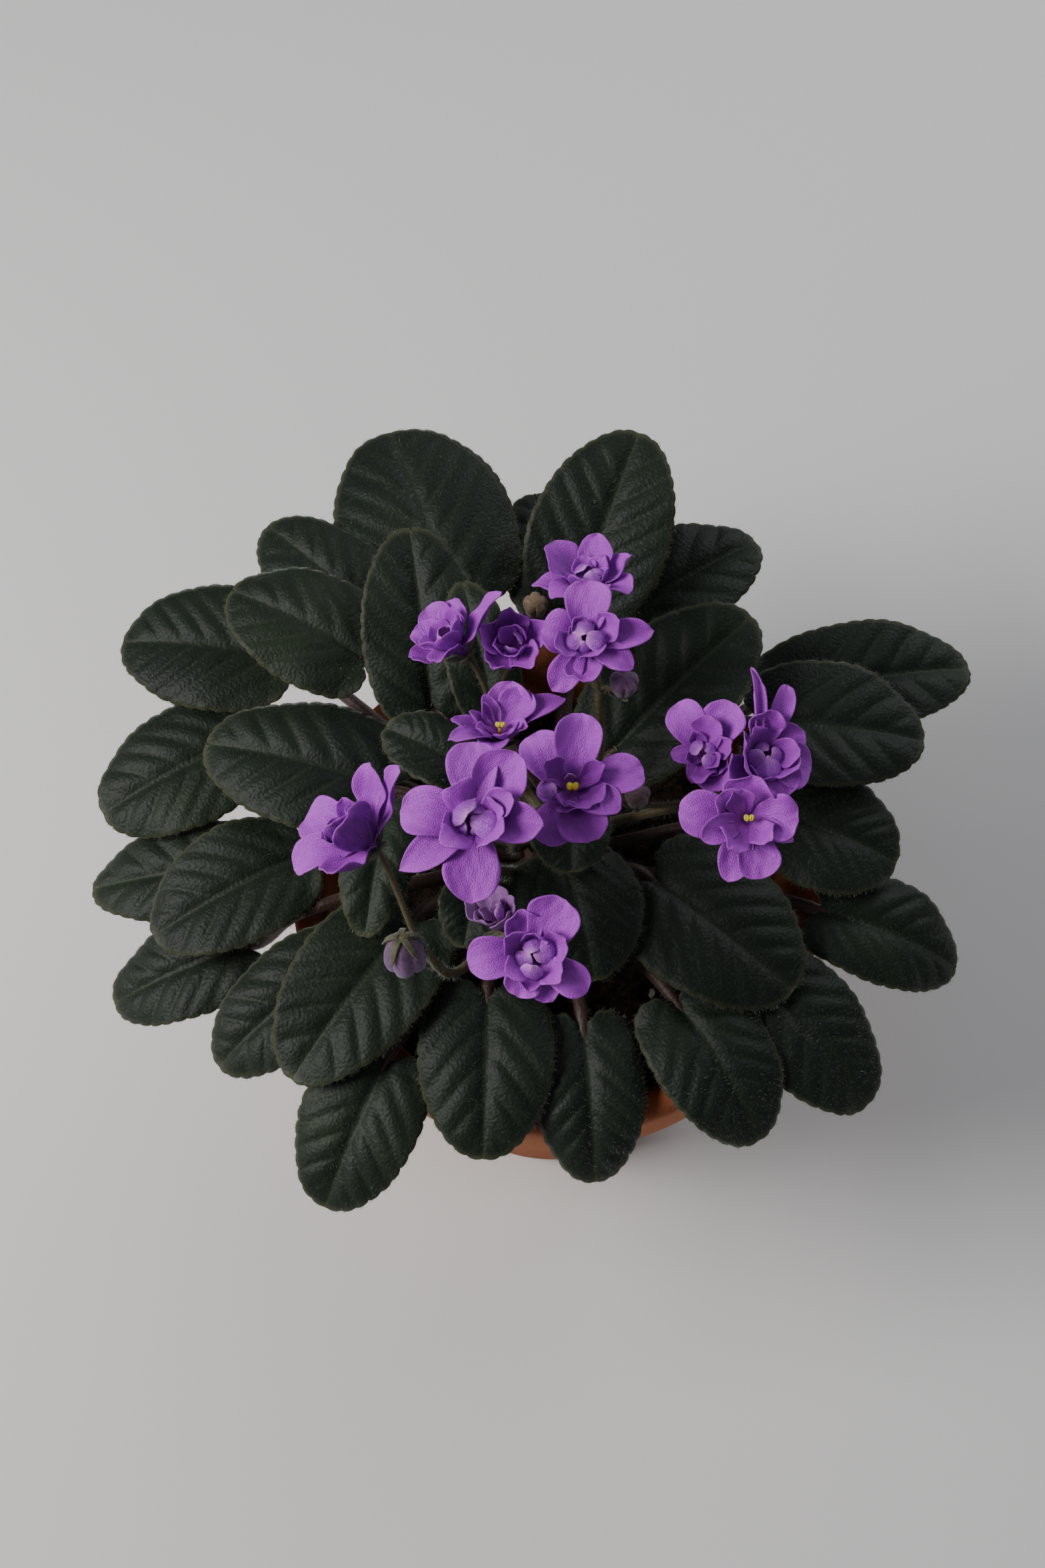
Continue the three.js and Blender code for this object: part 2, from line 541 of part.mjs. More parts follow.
// A calyx: a five-pointed star behind a bloom or bud, across the end of its stalk.
function calyx(end, facing) {
  const star = new THREE.Shape();
  for (let i = 0; i < 2 * CALYX.sepals; i++) {
    const radius = i % 2 ? CALYX.waist : CALYX.reach;
    const turn = (Math.PI * i) / CALYX.sepals;
    if (i === 0) star.moveTo(radius, 0);
    else star.lineTo(radius * Math.cos(turn), radius * Math.sin(turn));
  }
  star.closePath();
  const geometry = new THREE.ExtrudeGeometry(star, { depth: CALYX.thickness, bevelEnabled: false });
  geometry.translate(0, 0, -CALYX.thickness);
  geometry.applyQuaternion(new THREE.Quaternion().setFromUnitVectors(UP, facing));
  return geometry.translate(end.x, end.y, end.z);
}

// One flower stalk: the stem from the crown to its fork, a thinner stalk with a calyx to each
// bloom, and its buds.
function flowerStalk({ from, way, blooms, buds = [] }) {
  const [start, out] = leaveCrown(from, PEDUNCLE.radius);
  const points = [start, out, ...way.map(aboveRim)];
  const stem = new THREE.CatmullRomCurve3(points);
  const fork = points.at(-1);
  const heading = fork.clone().sub(points.at(-2)).normalize();
  const root = fork.clone().addScaledVector(heading, -PEDICEL.sink);
  const leave = fork.clone().addScaledVector(heading, PEDICEL.leave);
  const { steps, sides, radius } = PEDUNCLE;
  const pieces = [taperedTube(stem, steps, sides, radius, radius)];
  const branch = (end, facing) => {
    const arrive = end.clone().addScaledVector(facing, -PEDICEL.arrive);
    const curve = new THREE.CubicBezierCurve3(root, leave, arrive, end);
    pieces.push(taperedTube(curve, PEDICEL.steps, PEDICEL.sides, PEDICEL.radius, PEDICEL.radius));
  };
  for (const name of blooms) {
    const frame = bloomFrame(BLOOMS[name]);
    const end = new THREE.Vector3(0, 0, -THROAT.depth - GAP).applyMatrix4(frame);
    const facing = new THREE.Vector3().setFromMatrixColumn(frame, 2);
    branch(end, facing);
    pieces.push(calyx(end, facing));
  }
  for (const bud of buds) {
    const middle = aboveRim(bud.at);
    const facing = bud.hang ? BUD.hanging.clone().normalize() : UP;
    branch(middle.clone().addScaledVector(facing, BUD.sink - bud.length / 2), facing);
    const body = new THREE.SphereGeometry(bud.length / 2, BUD.sides, BUD.rings).rotateX(Math.PI / 2);
    body.scale(BUD.slimness, BUD.slimness, 1);
    body.applyQuaternion(new THREE.Quaternion().setFromUnitVectors(UP, facing));
    pieces.push(body.translate(middle.x, middle.y, middle.z));
  }
  return pieces.map(solid);
}

const TERRACOTTA = { color: 0xb65f33, roughness: 0.85 };
const EARTH = { color: 0x2b1d14, roughness: 1 };
const GREEN = { color: 0x2c3b25, roughness: 0.8 };
const STALK_GREEN = { color: 0x6a6440, roughness: 0.8 };
const LAVENDER = { color: 0xaa5cd7, roughness: 0.6 };
const YELLOW = { color: 0xe0d33c, roughness: 0.6 };

addPiece("pot", [pot()], TERRACOTTA);
addPiece("soil", [soil()], EARTH);
addPiece("crown", [crown()], STALK_GREEN);
for (const [name, spec] of Object.entries(LEAVES)) addPiece("leaf_" + name, leaf(spec, OLD), GREEN);
for (const [name, spec] of Object.entries(YOUNG_LEAVES)) addPiece("leaf_" + name, leaf(spec, YOUNG), GREEN);
for (const [name, spec] of Object.entries(FLOWER_STALKS)) addPiece(name, flowerStalk(spec), STALK_GREEN);
for (const [name, spec] of Object.entries(BLOOMS)) {
  addPiece(name, bloom(spec), LAVENDER);
  if (spec.anthers) addPiece(name.replace("bloom", "anthers"), anthers(spec), YELLOW);
}

export default plant;
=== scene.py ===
# %% [markdown]
# # A potted african violet
#
# The plant is a rosette of velvety leaves over a terracotta pot, with double lavender blooms held above
# it. The solid model gives every piece its place and size. Each cell below makes one kind of piece finer
# than its solid, keeps it where the solid is, and gives it a surface: clay, earth, velvet leaf, hairs and
# petal.

import math

import bmesh
import bpy
import numpy as np
from mathutils import Matrix, Vector, noise


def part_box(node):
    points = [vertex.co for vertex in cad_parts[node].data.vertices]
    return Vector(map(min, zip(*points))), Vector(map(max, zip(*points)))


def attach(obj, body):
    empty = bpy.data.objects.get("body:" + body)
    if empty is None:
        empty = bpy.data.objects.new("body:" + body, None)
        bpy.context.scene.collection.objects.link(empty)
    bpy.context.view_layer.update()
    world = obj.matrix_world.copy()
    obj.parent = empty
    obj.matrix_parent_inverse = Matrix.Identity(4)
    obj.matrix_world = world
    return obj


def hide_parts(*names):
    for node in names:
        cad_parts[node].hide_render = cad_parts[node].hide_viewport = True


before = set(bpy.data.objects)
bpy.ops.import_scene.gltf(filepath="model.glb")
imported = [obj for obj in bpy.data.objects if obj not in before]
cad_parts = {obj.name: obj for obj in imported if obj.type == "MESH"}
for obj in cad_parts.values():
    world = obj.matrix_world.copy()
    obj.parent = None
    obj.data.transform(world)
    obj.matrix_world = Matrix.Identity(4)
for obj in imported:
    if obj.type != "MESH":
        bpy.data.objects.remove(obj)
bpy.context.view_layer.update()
noise.seed_set(1)  # without a seed, noise_vector is another one in each run


def new_object(name, data):
    """A new object, put into the scene."""
    made = bpy.data.objects.new(name, data)
    bpy.context.scene.collection.objects.link(made)
    return made


# %% [markdown]
# The camera looks down on the plant at 66 degrees from the front, through a 50 mm lens on a frame whose
# long side is 36 mm. Its place was found from the round rim of the pot, which the view squashes into an
# ellipse.

# %% Camera
CAMERA_PLACE = (-0.0093, -0.2115, 0.6540)
LOOKING_DOWN = 66
LENS = 50
FRAME_SIDE = 36

camera = new_object("camera", bpy.data.cameras.new("camera"))
camera.data.lens = LENS
camera.data.sensor_width = FRAME_SIDE
camera.data.clip_start = 0.01
camera.location = CAMERA_PLACE
camera.rotation_euler = (math.radians(90 - LOOKING_DOWN), 0, 0)
bpy.context.scene.camera = camera
print("camera at", tuple(camera.location))

# %% [markdown]
# The light is a studio's: a large soft light at the left and a little in front, a weak one from behind on
# the right, and a dim even sky. The leaves are velvet, and velvet shows its form only where light rakes
# over it, so the main light stands low enough to graze them.

# %% Lights
PLANT_MIDDLE = Vector((0, 0, 0.14))
LAMPS = {  # place, size in metres, power in watts and colour
    "window": ((-0.75, -0.10, 0.75), 0.45, 11, (1.0, 0.98, 0.96)),
    "behind": ((0.45, 0.60, 0.55), 0.50, 2.5, (0.93, 0.96, 1.0)),
}
SKY_COLOR = (0.9, 0.93, 1.0, 1)
SKY_STRENGTH = 0.20

for name, (place, size, power, color) in LAMPS.items():
    light = bpy.data.lights.new(name, "AREA")
    light.size = size
    light.energy = power
    light.color = color
    lamp = new_object(name, light)
    lamp.location = place
    lamp.rotation_euler = (PLANT_MIDDLE - Vector(place)).to_track_quat("-Z", "Y").to_euler()
sky = bpy.data.worlds.new("sky")
sky.use_nodes = True
background = sky.node_tree.nodes["Background"]
background.inputs["Color"].default_value = SKY_COLOR
background.inputs["Strength"].default_value = SKY_STRENGTH
bpy.context.scene.world = sky
print("lights:", list(LAMPS))

# %% [markdown]
# Materials are built from nodes. A few small helpers wire a node by name, so that each material below
# reads as a short list of steps.

# %% Node helpers
def is_socket(value):
    return isinstance(value, bpy.types.NodeSocket)


def add(tree, kind, inputs=None, **settings):
    """A new node, with its settings, and its inputs set to values or linked to other nodes' outputs."""
    node = tree.nodes.new(kind)
    for key, value in settings.items():
        setattr(node, key, value)
    for key, value in (inputs or {}).items():
        if is_socket(value):
            tree.links.new(value, node.inputs[key])
        else:
            node.inputs[key].default_value = value
    return node


def ramp(tree, factor, *stops):
    """A colour ramp through (position, colour) stops."""
    node = add(tree, "ShaderNodeValToRGB", {0: factor})
    elements = node.color_ramp.elements
    while len(elements) < len(stops):
        elements.new(0.5)
    for element, (position, color) in zip(elements, stops):
        element.position = position
        element.color = (*color, 1)
    return node.outputs[0]


def mix(tree, factor, first, second):
    """Two colours mixed by a factor."""
    first, second = (color if is_socket(color) else (*color, 1) for color in (first, second))
    return add(tree, "ShaderNodeMix", {0: factor, 6: first, 7: second}, data_type="RGBA").outputs[2]


def math_node(tree, operation, *values, clamp=False):
    """A sum or other simple operation on numbers."""
    inputs = dict(enumerate(values))
    return add(tree, "ShaderNodeMath", inputs, operation=operation, use_clamp=clamp).outputs[0]


def tint(tree, color, mask, share, other):
    """A colour drawn towards another one, by a share of a mask."""
    return mix(tree, math_node(tree, "MULTIPLY", mask, share), color, other)


def noise_of(tree, vector, scale, detail, roughness=0.5):
    inputs = {"Vector": vector, "Scale": scale, "Detail": detail, "Roughness": roughness}
    return add(tree, "ShaderNodeTexNoise", inputs).outputs[0]


print("helpers:", [helper.__name__ for helper in (add, ramp, mix, math_node, tint, noise_of)])

# %% [markdown]
# Two effects are shared, as node groups. Grain gives fine bumps of two sizes and scattered specks, for
# clay, earth and skin. Each material sets its own scale.

# %% Grain
def effect_group(name, inputs, outputs):
    """An empty node group with sockets for what goes in, with its usual value, and what comes out."""
    group = bpy.data.node_groups.new(name, "ShaderNodeTree")
    for label, value in inputs.items():
        kind = "NodeSocketVector" if value is None else "NodeSocketFloat"
        socket = group.interface.new_socket(label, in_out="INPUT", socket_type=kind)
        if value is not None:
            socket.default_value = value
    for label in outputs:
        group.interface.new_socket(label, in_out="OUTPUT", socket_type="NodeSocketFloat")
    return group, group.nodes.new("NodeGroupInput").outputs, group.nodes.new("NodeGroupOutput").inputs


SPECK_SIZE = 0.22

GRAIN, into, out = effect_group("grain", {"Vector": None, "Scale": 1000.0}, ["Height", "Speckle"])
fine_noise = noise_of(GRAIN, into["Vector"], into["Scale"], 3.0, 0.6)
coarse_noise = noise_of(GRAIN, into["Vector"], math_node(GRAIN, "MULTIPLY", into["Scale"], 0.23), 4.0, 0.55)
cells = add(GRAIN, "ShaderNodeTexVoronoi", {"Vector": into["Vector"], "Scale": into["Scale"]})
GRAIN.links.new(math_node(GRAIN, "MULTIPLY_ADD", coarse_noise, 2.0, fine_noise), out["Height"])
GRAIN.links.new(math_node(GRAIN, "LESS_THAN", cells.outputs["Distance"], SPECK_SIZE), out["Speckle"])


def grain(tree, vector, scale):
    """The height and the specks of grain at a scale."""
    outputs = add(tree, "ShaderNodeGroup", {"Vector": vector, "Scale": scale}, node_tree=GRAIN).outputs
    return outputs["Height"], outputs["Speckle"]


print("grain:", len(GRAIN.nodes), "nodes")

# %% [markdown]
# Mottle gives a slow change of tone, because nothing that grew or was fired is one even colour. It is
# cloudy noise, spread out by a contrast and held between 0 and 1.

# %% Mottle
MOTTLE, into, out = effect_group("mottle", {"Vector": None, "Scale": 40.0, "Contrast": 2.0}, ["Amount"])
clouds = math_node(MOTTLE, "SUBTRACT", noise_of(MOTTLE, into["Vector"], into["Scale"], 5.0, 0.6), 0.5)
MOTTLE.links.new(math_node(MOTTLE, "MULTIPLY_ADD", clouds, into["Contrast"], 0.5, clamp=True), out["Amount"])


def mottle(tree, vector, scale, contrast):
    inputs = {"Vector": vector, "Scale": scale, "Contrast": contrast}
    return add(tree, "ShaderNodeGroup", inputs, node_tree=MOTTLE).outputs["Amount"]


print("groups:", [g.name for g in bpy.data.node_groups])

# %% [markdown]
# A material starts with one shader, whose even values are set on its own sockets, and ends with a colour
# and a bump wired into it. In between it asks where a point is: in the object, or on the spread-out skin
# of its piece.

# %% Material helpers
def new_material(name, **constants):
    """A material with one Principled shader. The constants are named like its sockets."""
    material = bpy.data.materials.new(name)
    material.use_nodes = True
    shader = material.node_tree.nodes["Principled BSDF"]
    for key, value in constants.items():
        shader.inputs[key.replace("_", " ")].default_value = value
    return material, material.node_tree, shader


def coat(tree, shader, color, height, depth, strength=1.0):
    """Wires a colour and a bump, of a depth in metres, into the shader."""
    bump = add(tree, "ShaderNodeBump", {"Height": height, "Distance": depth, "Strength": strength})
    tree.links.new(color, shader.inputs["Base Color"])
    tree.links.new(bump.outputs[0], shader.inputs["Normal"])


def object_place(tree):
    return add(tree, "ShaderNodeTexCoord").outputs["Object"]


def parts_of(tree, vector):
    return add(tree, "ShaderNodeSeparateXYZ", {0: vector}).outputs


def surface_layer(tree):
    return add(tree, "ShaderNodeAttribute", attribute_name="surface").outputs["Vector"]


def mark_layers(tree):
    return parts_of(tree, add(tree, "ShaderNodeAttribute", attribute_name="marks").outputs["Vector"])


def brushed(tree, skin, lengthwise, crosswise, contrast):
    """Streaks along a skin: mottle drawn out lengthwise."""
    stretched = add(tree, "ShaderNodeMapping", {0: skin, "Scale": (lengthwise, crosswise, 1.0)}).outputs[0]
    return mottle(tree, stretched, 1.0, contrast)


print("helpers:", [helper.__name__ for helper in (new_material, coat, object_place, mark_layers, brushed)])

# %% [markdown]
# The floor is a plain pale board, so that nothing competes with the plant. It isn't part of the object.

# %% Floor
FLOOR_SIZE = 8
FLOOR_COLOR = (0.76, 0.75, 0.74, 1)

bm = bmesh.new()
bmesh.ops.create_grid(bm, x_segments=1, y_segments=1, size=FLOOR_SIZE)
floor = new_object("floor", bpy.data.meshes.new("floor"))
bm.to_mesh(floor.data)
bm.free()
floor.data.materials.append(new_material("pale_floor", Base_Color=FLOOR_COLOR, Roughness=0.9)[0])
print("floor:", 2 * FLOOR_SIZE, "m wide at z = 0")

# %% [markdown]
# Everything below is written in millimetres, like a drawing, and scaled to metres when a piece is
# finished. Directions are level bearings, counted from +X towards +Y.

# %% Units and directions
MM = 0.001
UP = np.array([0.0, 0.0, 1.0])
TINY = 1e-12


def unit(vector):
    return np.asarray(vector, float) / np.linalg.norm(vector, axis=-1, keepdims=True)


def bearing(degrees):
    return np.array([math.cos(math.radians(degrees)), math.sin(math.radians(degrees)), 0.0])


def through(points, t):
    """Points on a smooth curve through the given ones, for t from 0 to 1."""
    p = np.array(points, float)
    place = np.clip(t, 0, 1) * (len(p) - 1)
    i = np.minimum(place.astype(int), len(p) - 2)
    s = (place - i)[:, None]
    before, start, end, after = p[np.maximum(i - 1, 0)], p[i], p[i + 1], p[np.minimum(i + 2, len(p) - 1)]
    return 0.5 * (2 * start + (end - before) * s + (2 * before - 5 * start + 4 * end - after) * s**2
                  + (3 * start - before - 3 * end + after) * s**3)


def even_reach(outline, steps, stretch=1):
    """How far round an outline each of many even parameters lies, from 0 to 1, and the outline's length."""
    part = np.linspace(0, 1, steps)
    lengths = np.linalg.norm(np.diff(through(outline, part) * stretch, axis=0), axis=1)
    return np.concatenate([[0], np.cumsum(lengths)]) / lengths.sum(), part, lengths.sum()


print("north-east is", bearing(45).round(2))

# %% [markdown]
# Leaves and petals are thin curved sheets. A flat outline filled with faces would lose track of where it
# is, so each is a grid instead, bent by a formula of u across and t along, and given thickness by a
# Solidify modifier. Each point remembers two things for its material. `surface` holds where it lies on the
# spread-out piece in millimetres, with 1 in its third place on the underside. `marks` holds up to three
# masks, such as how near a vein or the edge it is.

# %% Sheets
SEWN = 0.01


def shaped_grid(across, along, shape):
    """A grid bent to shape(u, t), which gives the points, their surface places and their marks."""
    bm = bmesh.new()
    surface = bm.verts.layers.float_vector.new("surface")
    marks = bm.verts.layers.float_vector.new("marks")
    bmesh.ops.create_grid(bm, x_segments=across, y_segments=along, size=1)
    bmesh.ops.reverse_faces(bm, faces=bm.faces[:])
    co = np.array([v.co for v in bm.verts])
    for vert, point, place, mask in zip(bm.verts, *shape(co[:, 0], (co[:, 1] + 1) / 2)):
        vert.co = point
        vert[surface] = place
        vert[marks] = mask
    bmesh.ops.remove_doubles(bm, verts=bm.verts[:], dist=SEWN)
    return bm


def as_mesh(bm, slot=0):
    """The finished bmesh as a mesh datablock, its faces smooth and all set to the material index slot."""
    for face in bm.faces:
        face.material_index = slot
        face.smooth = True
    data = bpy.data.meshes.new("part")
    bm.to_mesh(data)
    bm.free()
    return data


def applied(piece):
    """The mesh of a piece with its modifiers applied, and the piece itself removed."""
    base = piece.data
    data = bpy.data.meshes.new_from_object(piece.evaluated_get(bpy.context.evaluated_depsgraph_get()))
    bpy.data.objects.remove(piece)
    bpy.data.meshes.remove(base)
    return data


def sheet(across, along, shape, thickness, slot):
    """A thin curved sheet, whose upper face has the given shape."""
    piece = new_object("sheet", as_mesh(shaped_grid(across, along, shape), slot))
    upper = len(piece.data.vertices)
    wall = piece.modifiers.new("wall", "SOLIDIFY")
    wall.thickness = thickness
    wall.offset = -1
    data = applied(piece)
    places = np.zeros(3 * len(data.vertices))
    data.attributes["surface"].data.foreach_get("vector", places)
    places[3 * upper + 2::3] = 1
    data.attributes["surface"].data.foreach_set("vector", places)
    return data


print("sheets ready, sewn within", SEWN, "mm")

# %% [markdown]
# A stalk follows a smooth path through a few points, like wire bent by hand. A beveled curve would do, but
# a curve doesn't keep the places that the material and the hairs need, so the round section is carried
# along the path point by point, without twisting.

# %% Paths
def smooth_path(points, steps):
    """Even points along a smooth curve through the given ones, and its length."""
    p = np.array(points, float)
    knots = np.concatenate([[0], np.cumsum(np.sqrt(np.linalg.norm(np.diff(p, axis=0), axis=1)))])
    widths = np.diff(knots)
    slopes = np.diff(p, axis=0) / widths[:, None]
    tangents = np.vstack([slopes[:1], slopes[:-1] + slopes[1:], slopes[-1:]])
    tangents[1:-1] -= (p[2:] - p[:-2]) / (knots[2:] - knots[:-2])[:, None]
    fine = []
    for i, width in enumerate(widths):
        s = np.linspace(0, 1, 40, endpoint=i == len(widths) - 1)[:, None]
        fine.append((2 * s**3 - 3 * s**2 + 1) * p[i] + (s**3 - 2 * s**2 + s) * width * tangents[i]
                    + (3 * s**2 - 2 * s**3) * p[i + 1] + (s**3 - s**2) * width * tangents[i + 1])
    fine = np.vstack(fine)
    reach = np.concatenate([[0], np.cumsum(np.linalg.norm(np.diff(fine, axis=0), axis=1))])
    even = np.linspace(0, reach[-1], steps + 1)
    return np.stack([np.interp(even, reach, fine[:, i]) for i in range(3)], 1), reach[-1]


def carried_frames(path):
    """The way ahead and a direction across the path at each of its points, carried along without twisting."""
    ahead = unit(np.gradient(path, axis=0))
    aside = [unit(np.cross(ahead[0], UP + [0.01, 0.02, 0]))]
    for i in range(1, len(path)):
        carried = aside[-1] - ahead[i] * (aside[-1] @ ahead[i])
        aside.append(unit(carried))
    return ahead, np.array(aside)


print("a path of 10 mm:", round(smooth_path([(0, 0, 0), (5, 0, 0), (10, 0, 0)], 8)[1], 2))

# %% [markdown]
# The tube of a stalk is the same kind of grid as a sheet, rolled up. Its seam is sewn and its two ends are
# filled.

# %% Stalks
def stalk_shape(path, radii):
    """A round stalk along a path: u goes round it and t along it. radii are (t, radius) pairs."""
    ahead, aside = carried_frames(path)
    stations = np.linspace(0, 1, len(path))
    total = np.linalg.norm(np.diff(path, axis=0), axis=1).sum()

    def shape(u, t):
        def at(values):
            return np.stack([np.interp(t, stations, values[:, i]) for i in range(3)], 1)

        radius = np.interp(t, *np.transpose(radii))[:, None]
        side = unit(at(aside))
        other = unit(np.cross(side, at(ahead)))
        turn = (np.pi * u)[:, None]
        places = np.stack([t * total, (radius * turn)[:, 0], np.zeros_like(t)], 1)
        marks = np.stack([t, u, np.zeros_like(t)], 1)
        return at(path) + radius * (np.cos(turn) * side + np.sin(turn) * other), places, marks

    return shape


def stalk(sides, steps, shape, slot):
    """The closed tube of a stalk."""
    bm = shaped_grid(sides, steps, shape)
    bmesh.ops.holes_fill(bm, edges=[e for e in bm.edges if e.is_boundary], sides=0)
    bmesh.ops.recalc_face_normals(bm, faces=bm.faces[:])
    return as_mesh(bm, slot)


print("helpers:", [helper.__name__ for helper in (carried_frames, stalk_shape, stalk)])

# %% [markdown]
# Hairs cover the whole plant. Particles would be quicker to set up, but their strands don't end up in the
# mesh. Here each hair is a slim three-sided cone, copied by an Array modifier, and the copies are moved to
# their roots all at once. Roots are drawn at random, with more of them kept where the skin is stretched,
# so that the hairs stand evenly.

# %% Hairs
def many_spikes(count):
    """A mesh of that many hairs, each a slim three-sided cone, and the corners of one of them."""
    bm = bmesh.new()
    bmesh.ops.create_cone(bm, cap_ends=True, segments=3, radius1=1, radius2=0, depth=1)
    bmesh.ops.remove_doubles(bm, verts=bm.verts[:], dist=1e-4)
    bmesh.ops.translate(bm, verts=bm.verts[:], vec=(0, 0, 0.5))
    bmesh.ops.recalc_face_normals(bm, faces=bm.faces[:])
    corners = np.array([v.co for v in bm.verts])
    maker = new_object("spike", bpy.data.meshes.new("spike"))
    bm.to_mesh(maker.data)
    bm.free()
    maker.modifiers.new("copies", "ARRAY").count = count
    return applied(maker), corners


def root_places(shape, rng, count, edge):
    """Random roots on a shape: u, the point, and the directions across, along and out of it."""
    many = count if edge else 6 * count
    u = rng.choice([-1.0, 1.0], many) if edge else rng.uniform(-1, 1, many)
    t = rng.uniform(0.02, 0.98, many)
    step = 0.004

    def spot(a, b):
        return shape(a, np.clip(b, 0, 1))[0]

    across = spot(u + step, t) - spot(u - step, t)
    along = spot(u, t + step) - spot(u, t - step)
    normal = np.cross(along, across)
    if not edge:
        size = np.linalg.norm(normal, axis=1)
        keep = np.flatnonzero(rng.uniform(0, np.percentile(size, 98), many) < size)[:count]
        u, t, normal, across, along = u[keep], t[keep], normal[keep], across[keep], along[keep]
    return u[:, None], spot(u, t), across, along, unit(normal + TINY)


def hairs(shape, rng, count, length, radius, slot, lean=0.5, edge=False):
    """Hairs scattered over a shape or along its edge, leaning a little at random."""
    u, root, across, along, normal = root_places(shape, rng, count, edge)
    direction = normal + lean * rng.normal(0, 0.6, normal.shape)
    if edge:
        direction = 0.5 * normal + unit(across * u + TINY) + lean * rng.normal(0, 0.5, normal.shape)
    direction = unit(direction)
    aside = unit(np.cross(direction, unit(along + TINY) + [0.01, 0.02, 0.03]))
    other = np.cross(direction, aside)
    data, corners = many_spikes(len(root))
    reach = length * rng.uniform(0.6, 1.3, len(root))
    points = ((root - 0.1 * normal)[:, None]
              + radius * (corners[:, 0, None] * aside[:, None] + corners[:, 1, None] * other[:, None])
              + (reach[:, None] * corners[:, 2])[..., None] * direction[:, None])
    data.vertices.foreach_set("co", points.ravel())
    data.polygons.foreach_set("material_index", [slot] * len(data.polygons))
    tips = np.zeros(points.shape)
    tips[..., 0] = corners[:, 2]
    new_layers(data)[1].data.foreach_set("vector", tips.ravel())
    return data


def new_layers(data):
    """The two layers that every piece has, on a mesh that has none yet."""
    for name in ("surface", "marks"):
        data.attributes.new(name, "FLOAT_VECTOR", "POINT")
    return data.attributes["surface"], data.attributes["marks"]


print("one hair has", len(many_spikes(1)[0].polygons), "faces")

# %% [markdown]
# Last of the helpers: a piece's parts are joined, scaled to metres, and set in place of its solid.

# %% Finish a piece
def finish_piece(name, parts, materials):
    """Joins the parts into one object in metres, sets it in place of its solid and counts its faces."""
    bm = bmesh.new()
    for part in parts:
        bm.from_mesh(part)
        bpy.data.meshes.remove(part)
    bmesh.ops.scale(bm, vec=(MM, MM, MM), verts=bm.verts[:])
    data = bpy.data.meshes.new(name + "_fine")
    bm.to_mesh(data)
    bm.free()
    for material in materials:
        data.materials.append(material)
    piece = new_object(name + "_fine", data)
    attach(piece, "root")
    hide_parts(name)
    low, high = (np.array(corner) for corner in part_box(name))
    points = np.array([v.co for v in data.vertices])
    past = np.maximum(low - points.min(0), points.max(0) - high) / MM
    print(piece.name, "stands out of its solid's box by", past.round(1), "mm")
    return len(data.polygons)


print("nodes to replace:", len(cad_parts))

# %% [markdown]
# The pot is red clay, thrown or pressed in a round mould and fired without a glaze. Its colour drifts
# slowly, pale salts bloom where water dries out through the wall, and its foot stays darker with damp.
# Round its rim the top of the pot is painted a darker red, as shade. The grain is fine, so it goes into
# the bump.

# %% Clay
SALT = (0.62, 0.45, 0.34)
DAMP_CLAY = (0.20, 0.07, 0.035)
# painted shade: the darker red of the pot's top, round its rim
PAINTED_RIM_SHADE = (0.20, 0.045, 0.025)
CLAY_SPECK = (0.18, 0.08, 0.05)

terracotta, tree, shader = new_material("terracotta", Roughness=0.9, Specular_IOR_Level=0.25)
place = object_place(tree)
height = parts_of(tree, place)[2]
drift = mottle(tree, place, 22.0, 1.5)
salts = mottle(tree, place, 55.0, 5.0)
relief, specks = grain(tree, place, 2200.0)
damp = math_node(tree, "MULTIPLY_ADD", height, -9.0, 0.75, clamp=True)
# painted shade: darker towards the top of the rim
painted_rim_shade = math_node(tree, "MULTIPLY_ADD", height, 120.0, -13.6, clamp=True)
color = ramp(tree, drift, (0.1, (0.37, 0.11, 0.038)), (0.55, (0.43, 0.135, 0.048)),
             (0.95, (0.49, 0.165, 0.062)))
color = tint(tree, color, salts, 0.07, SALT)
color = tint(tree, color, damp, 0.35, DAMP_CLAY)
color = tint(tree, color, painted_rim_shade, 0.55, PAINTED_RIM_SHADE)
color = tint(tree, color, specks, 0.35, CLAY_SPECK)
coat(tree, shader, color, relief, 0.00025, 0.6)
print("clay:", len(tree.nodes), "nodes")

# %% [markdown]
# The pot's solid is a turned shell with 36 sides, good for handling but not for looking at. The finer pot
# is spun from the same profile with rounder corners in 144 steps. A potter's wheel and a rough mould leave
# it a little uneven, so noise moves its points in and out.

# %% Pot
POT_SIDES = 144
POT_TOP = 122
POT_PROFILE = [
    (0, 0), (20, 0), (40, 0), (45, 0), (45.7, 0.3), (46, 1), (49, 20), (53.5, 48), (58, 76), (60.6, 92.5),
    (60.9, 94.6), (61.6, 95.7), (63, 96), (66.8, 96), (67.8, 96.4), (68.2, 97.4), (69.0, 107), (69.7, 116),
    (70, 118.6), (69.8, 120), (69.2, 121), (68.1, 121.7), (66.4, POT_TOP), (64.6, 121.8), (63.2, 121.1),
    (62.4, 120), (62, 118), (58.5, 104), (55, 90), (47, 48), (40.8, 9.5), (39.5, 8), (20, 8), (0, 8),
]


def spun(profile, steps):
    """A closed turned shape from (radius, height) points that start and end on the axis."""
    bm = bmesh.new()
    verts = [bm.verts.new((r, 0, z)) for r, z in profile]
    edges = [bm.edges.new(pair) for pair in zip(verts, verts[1:])]
    bmesh.ops.spin(bm, geom=verts + edges, cent=(0, 0, 0), axis=(0, 0, 1), angle=2 * math.pi, steps=steps,
                   use_merge=True)
    bmesh.ops.remove_doubles(bm, verts=bm.verts[:], dist=1e-4)
    bmesh.ops.recalc_face_normals(bm, faces=bm.faces[:])
    return bm


bm = spun(POT_PROFILE, POT_SIDES)
for vert in bm.verts:
    wobble = noise.noise(Vector(vert.co) * 0.02) * 0.25 + noise.noise(Vector(vert.co) * 0.15) * 0.06
    if vert.co.z > 1:
        vert.co += Vector((vert.co.x, vert.co.y, 0)).normalized() * wobble
shell = new_object("shell", as_mesh(bm))
print("spun pot:", len(shell.data.polygons), "faces")

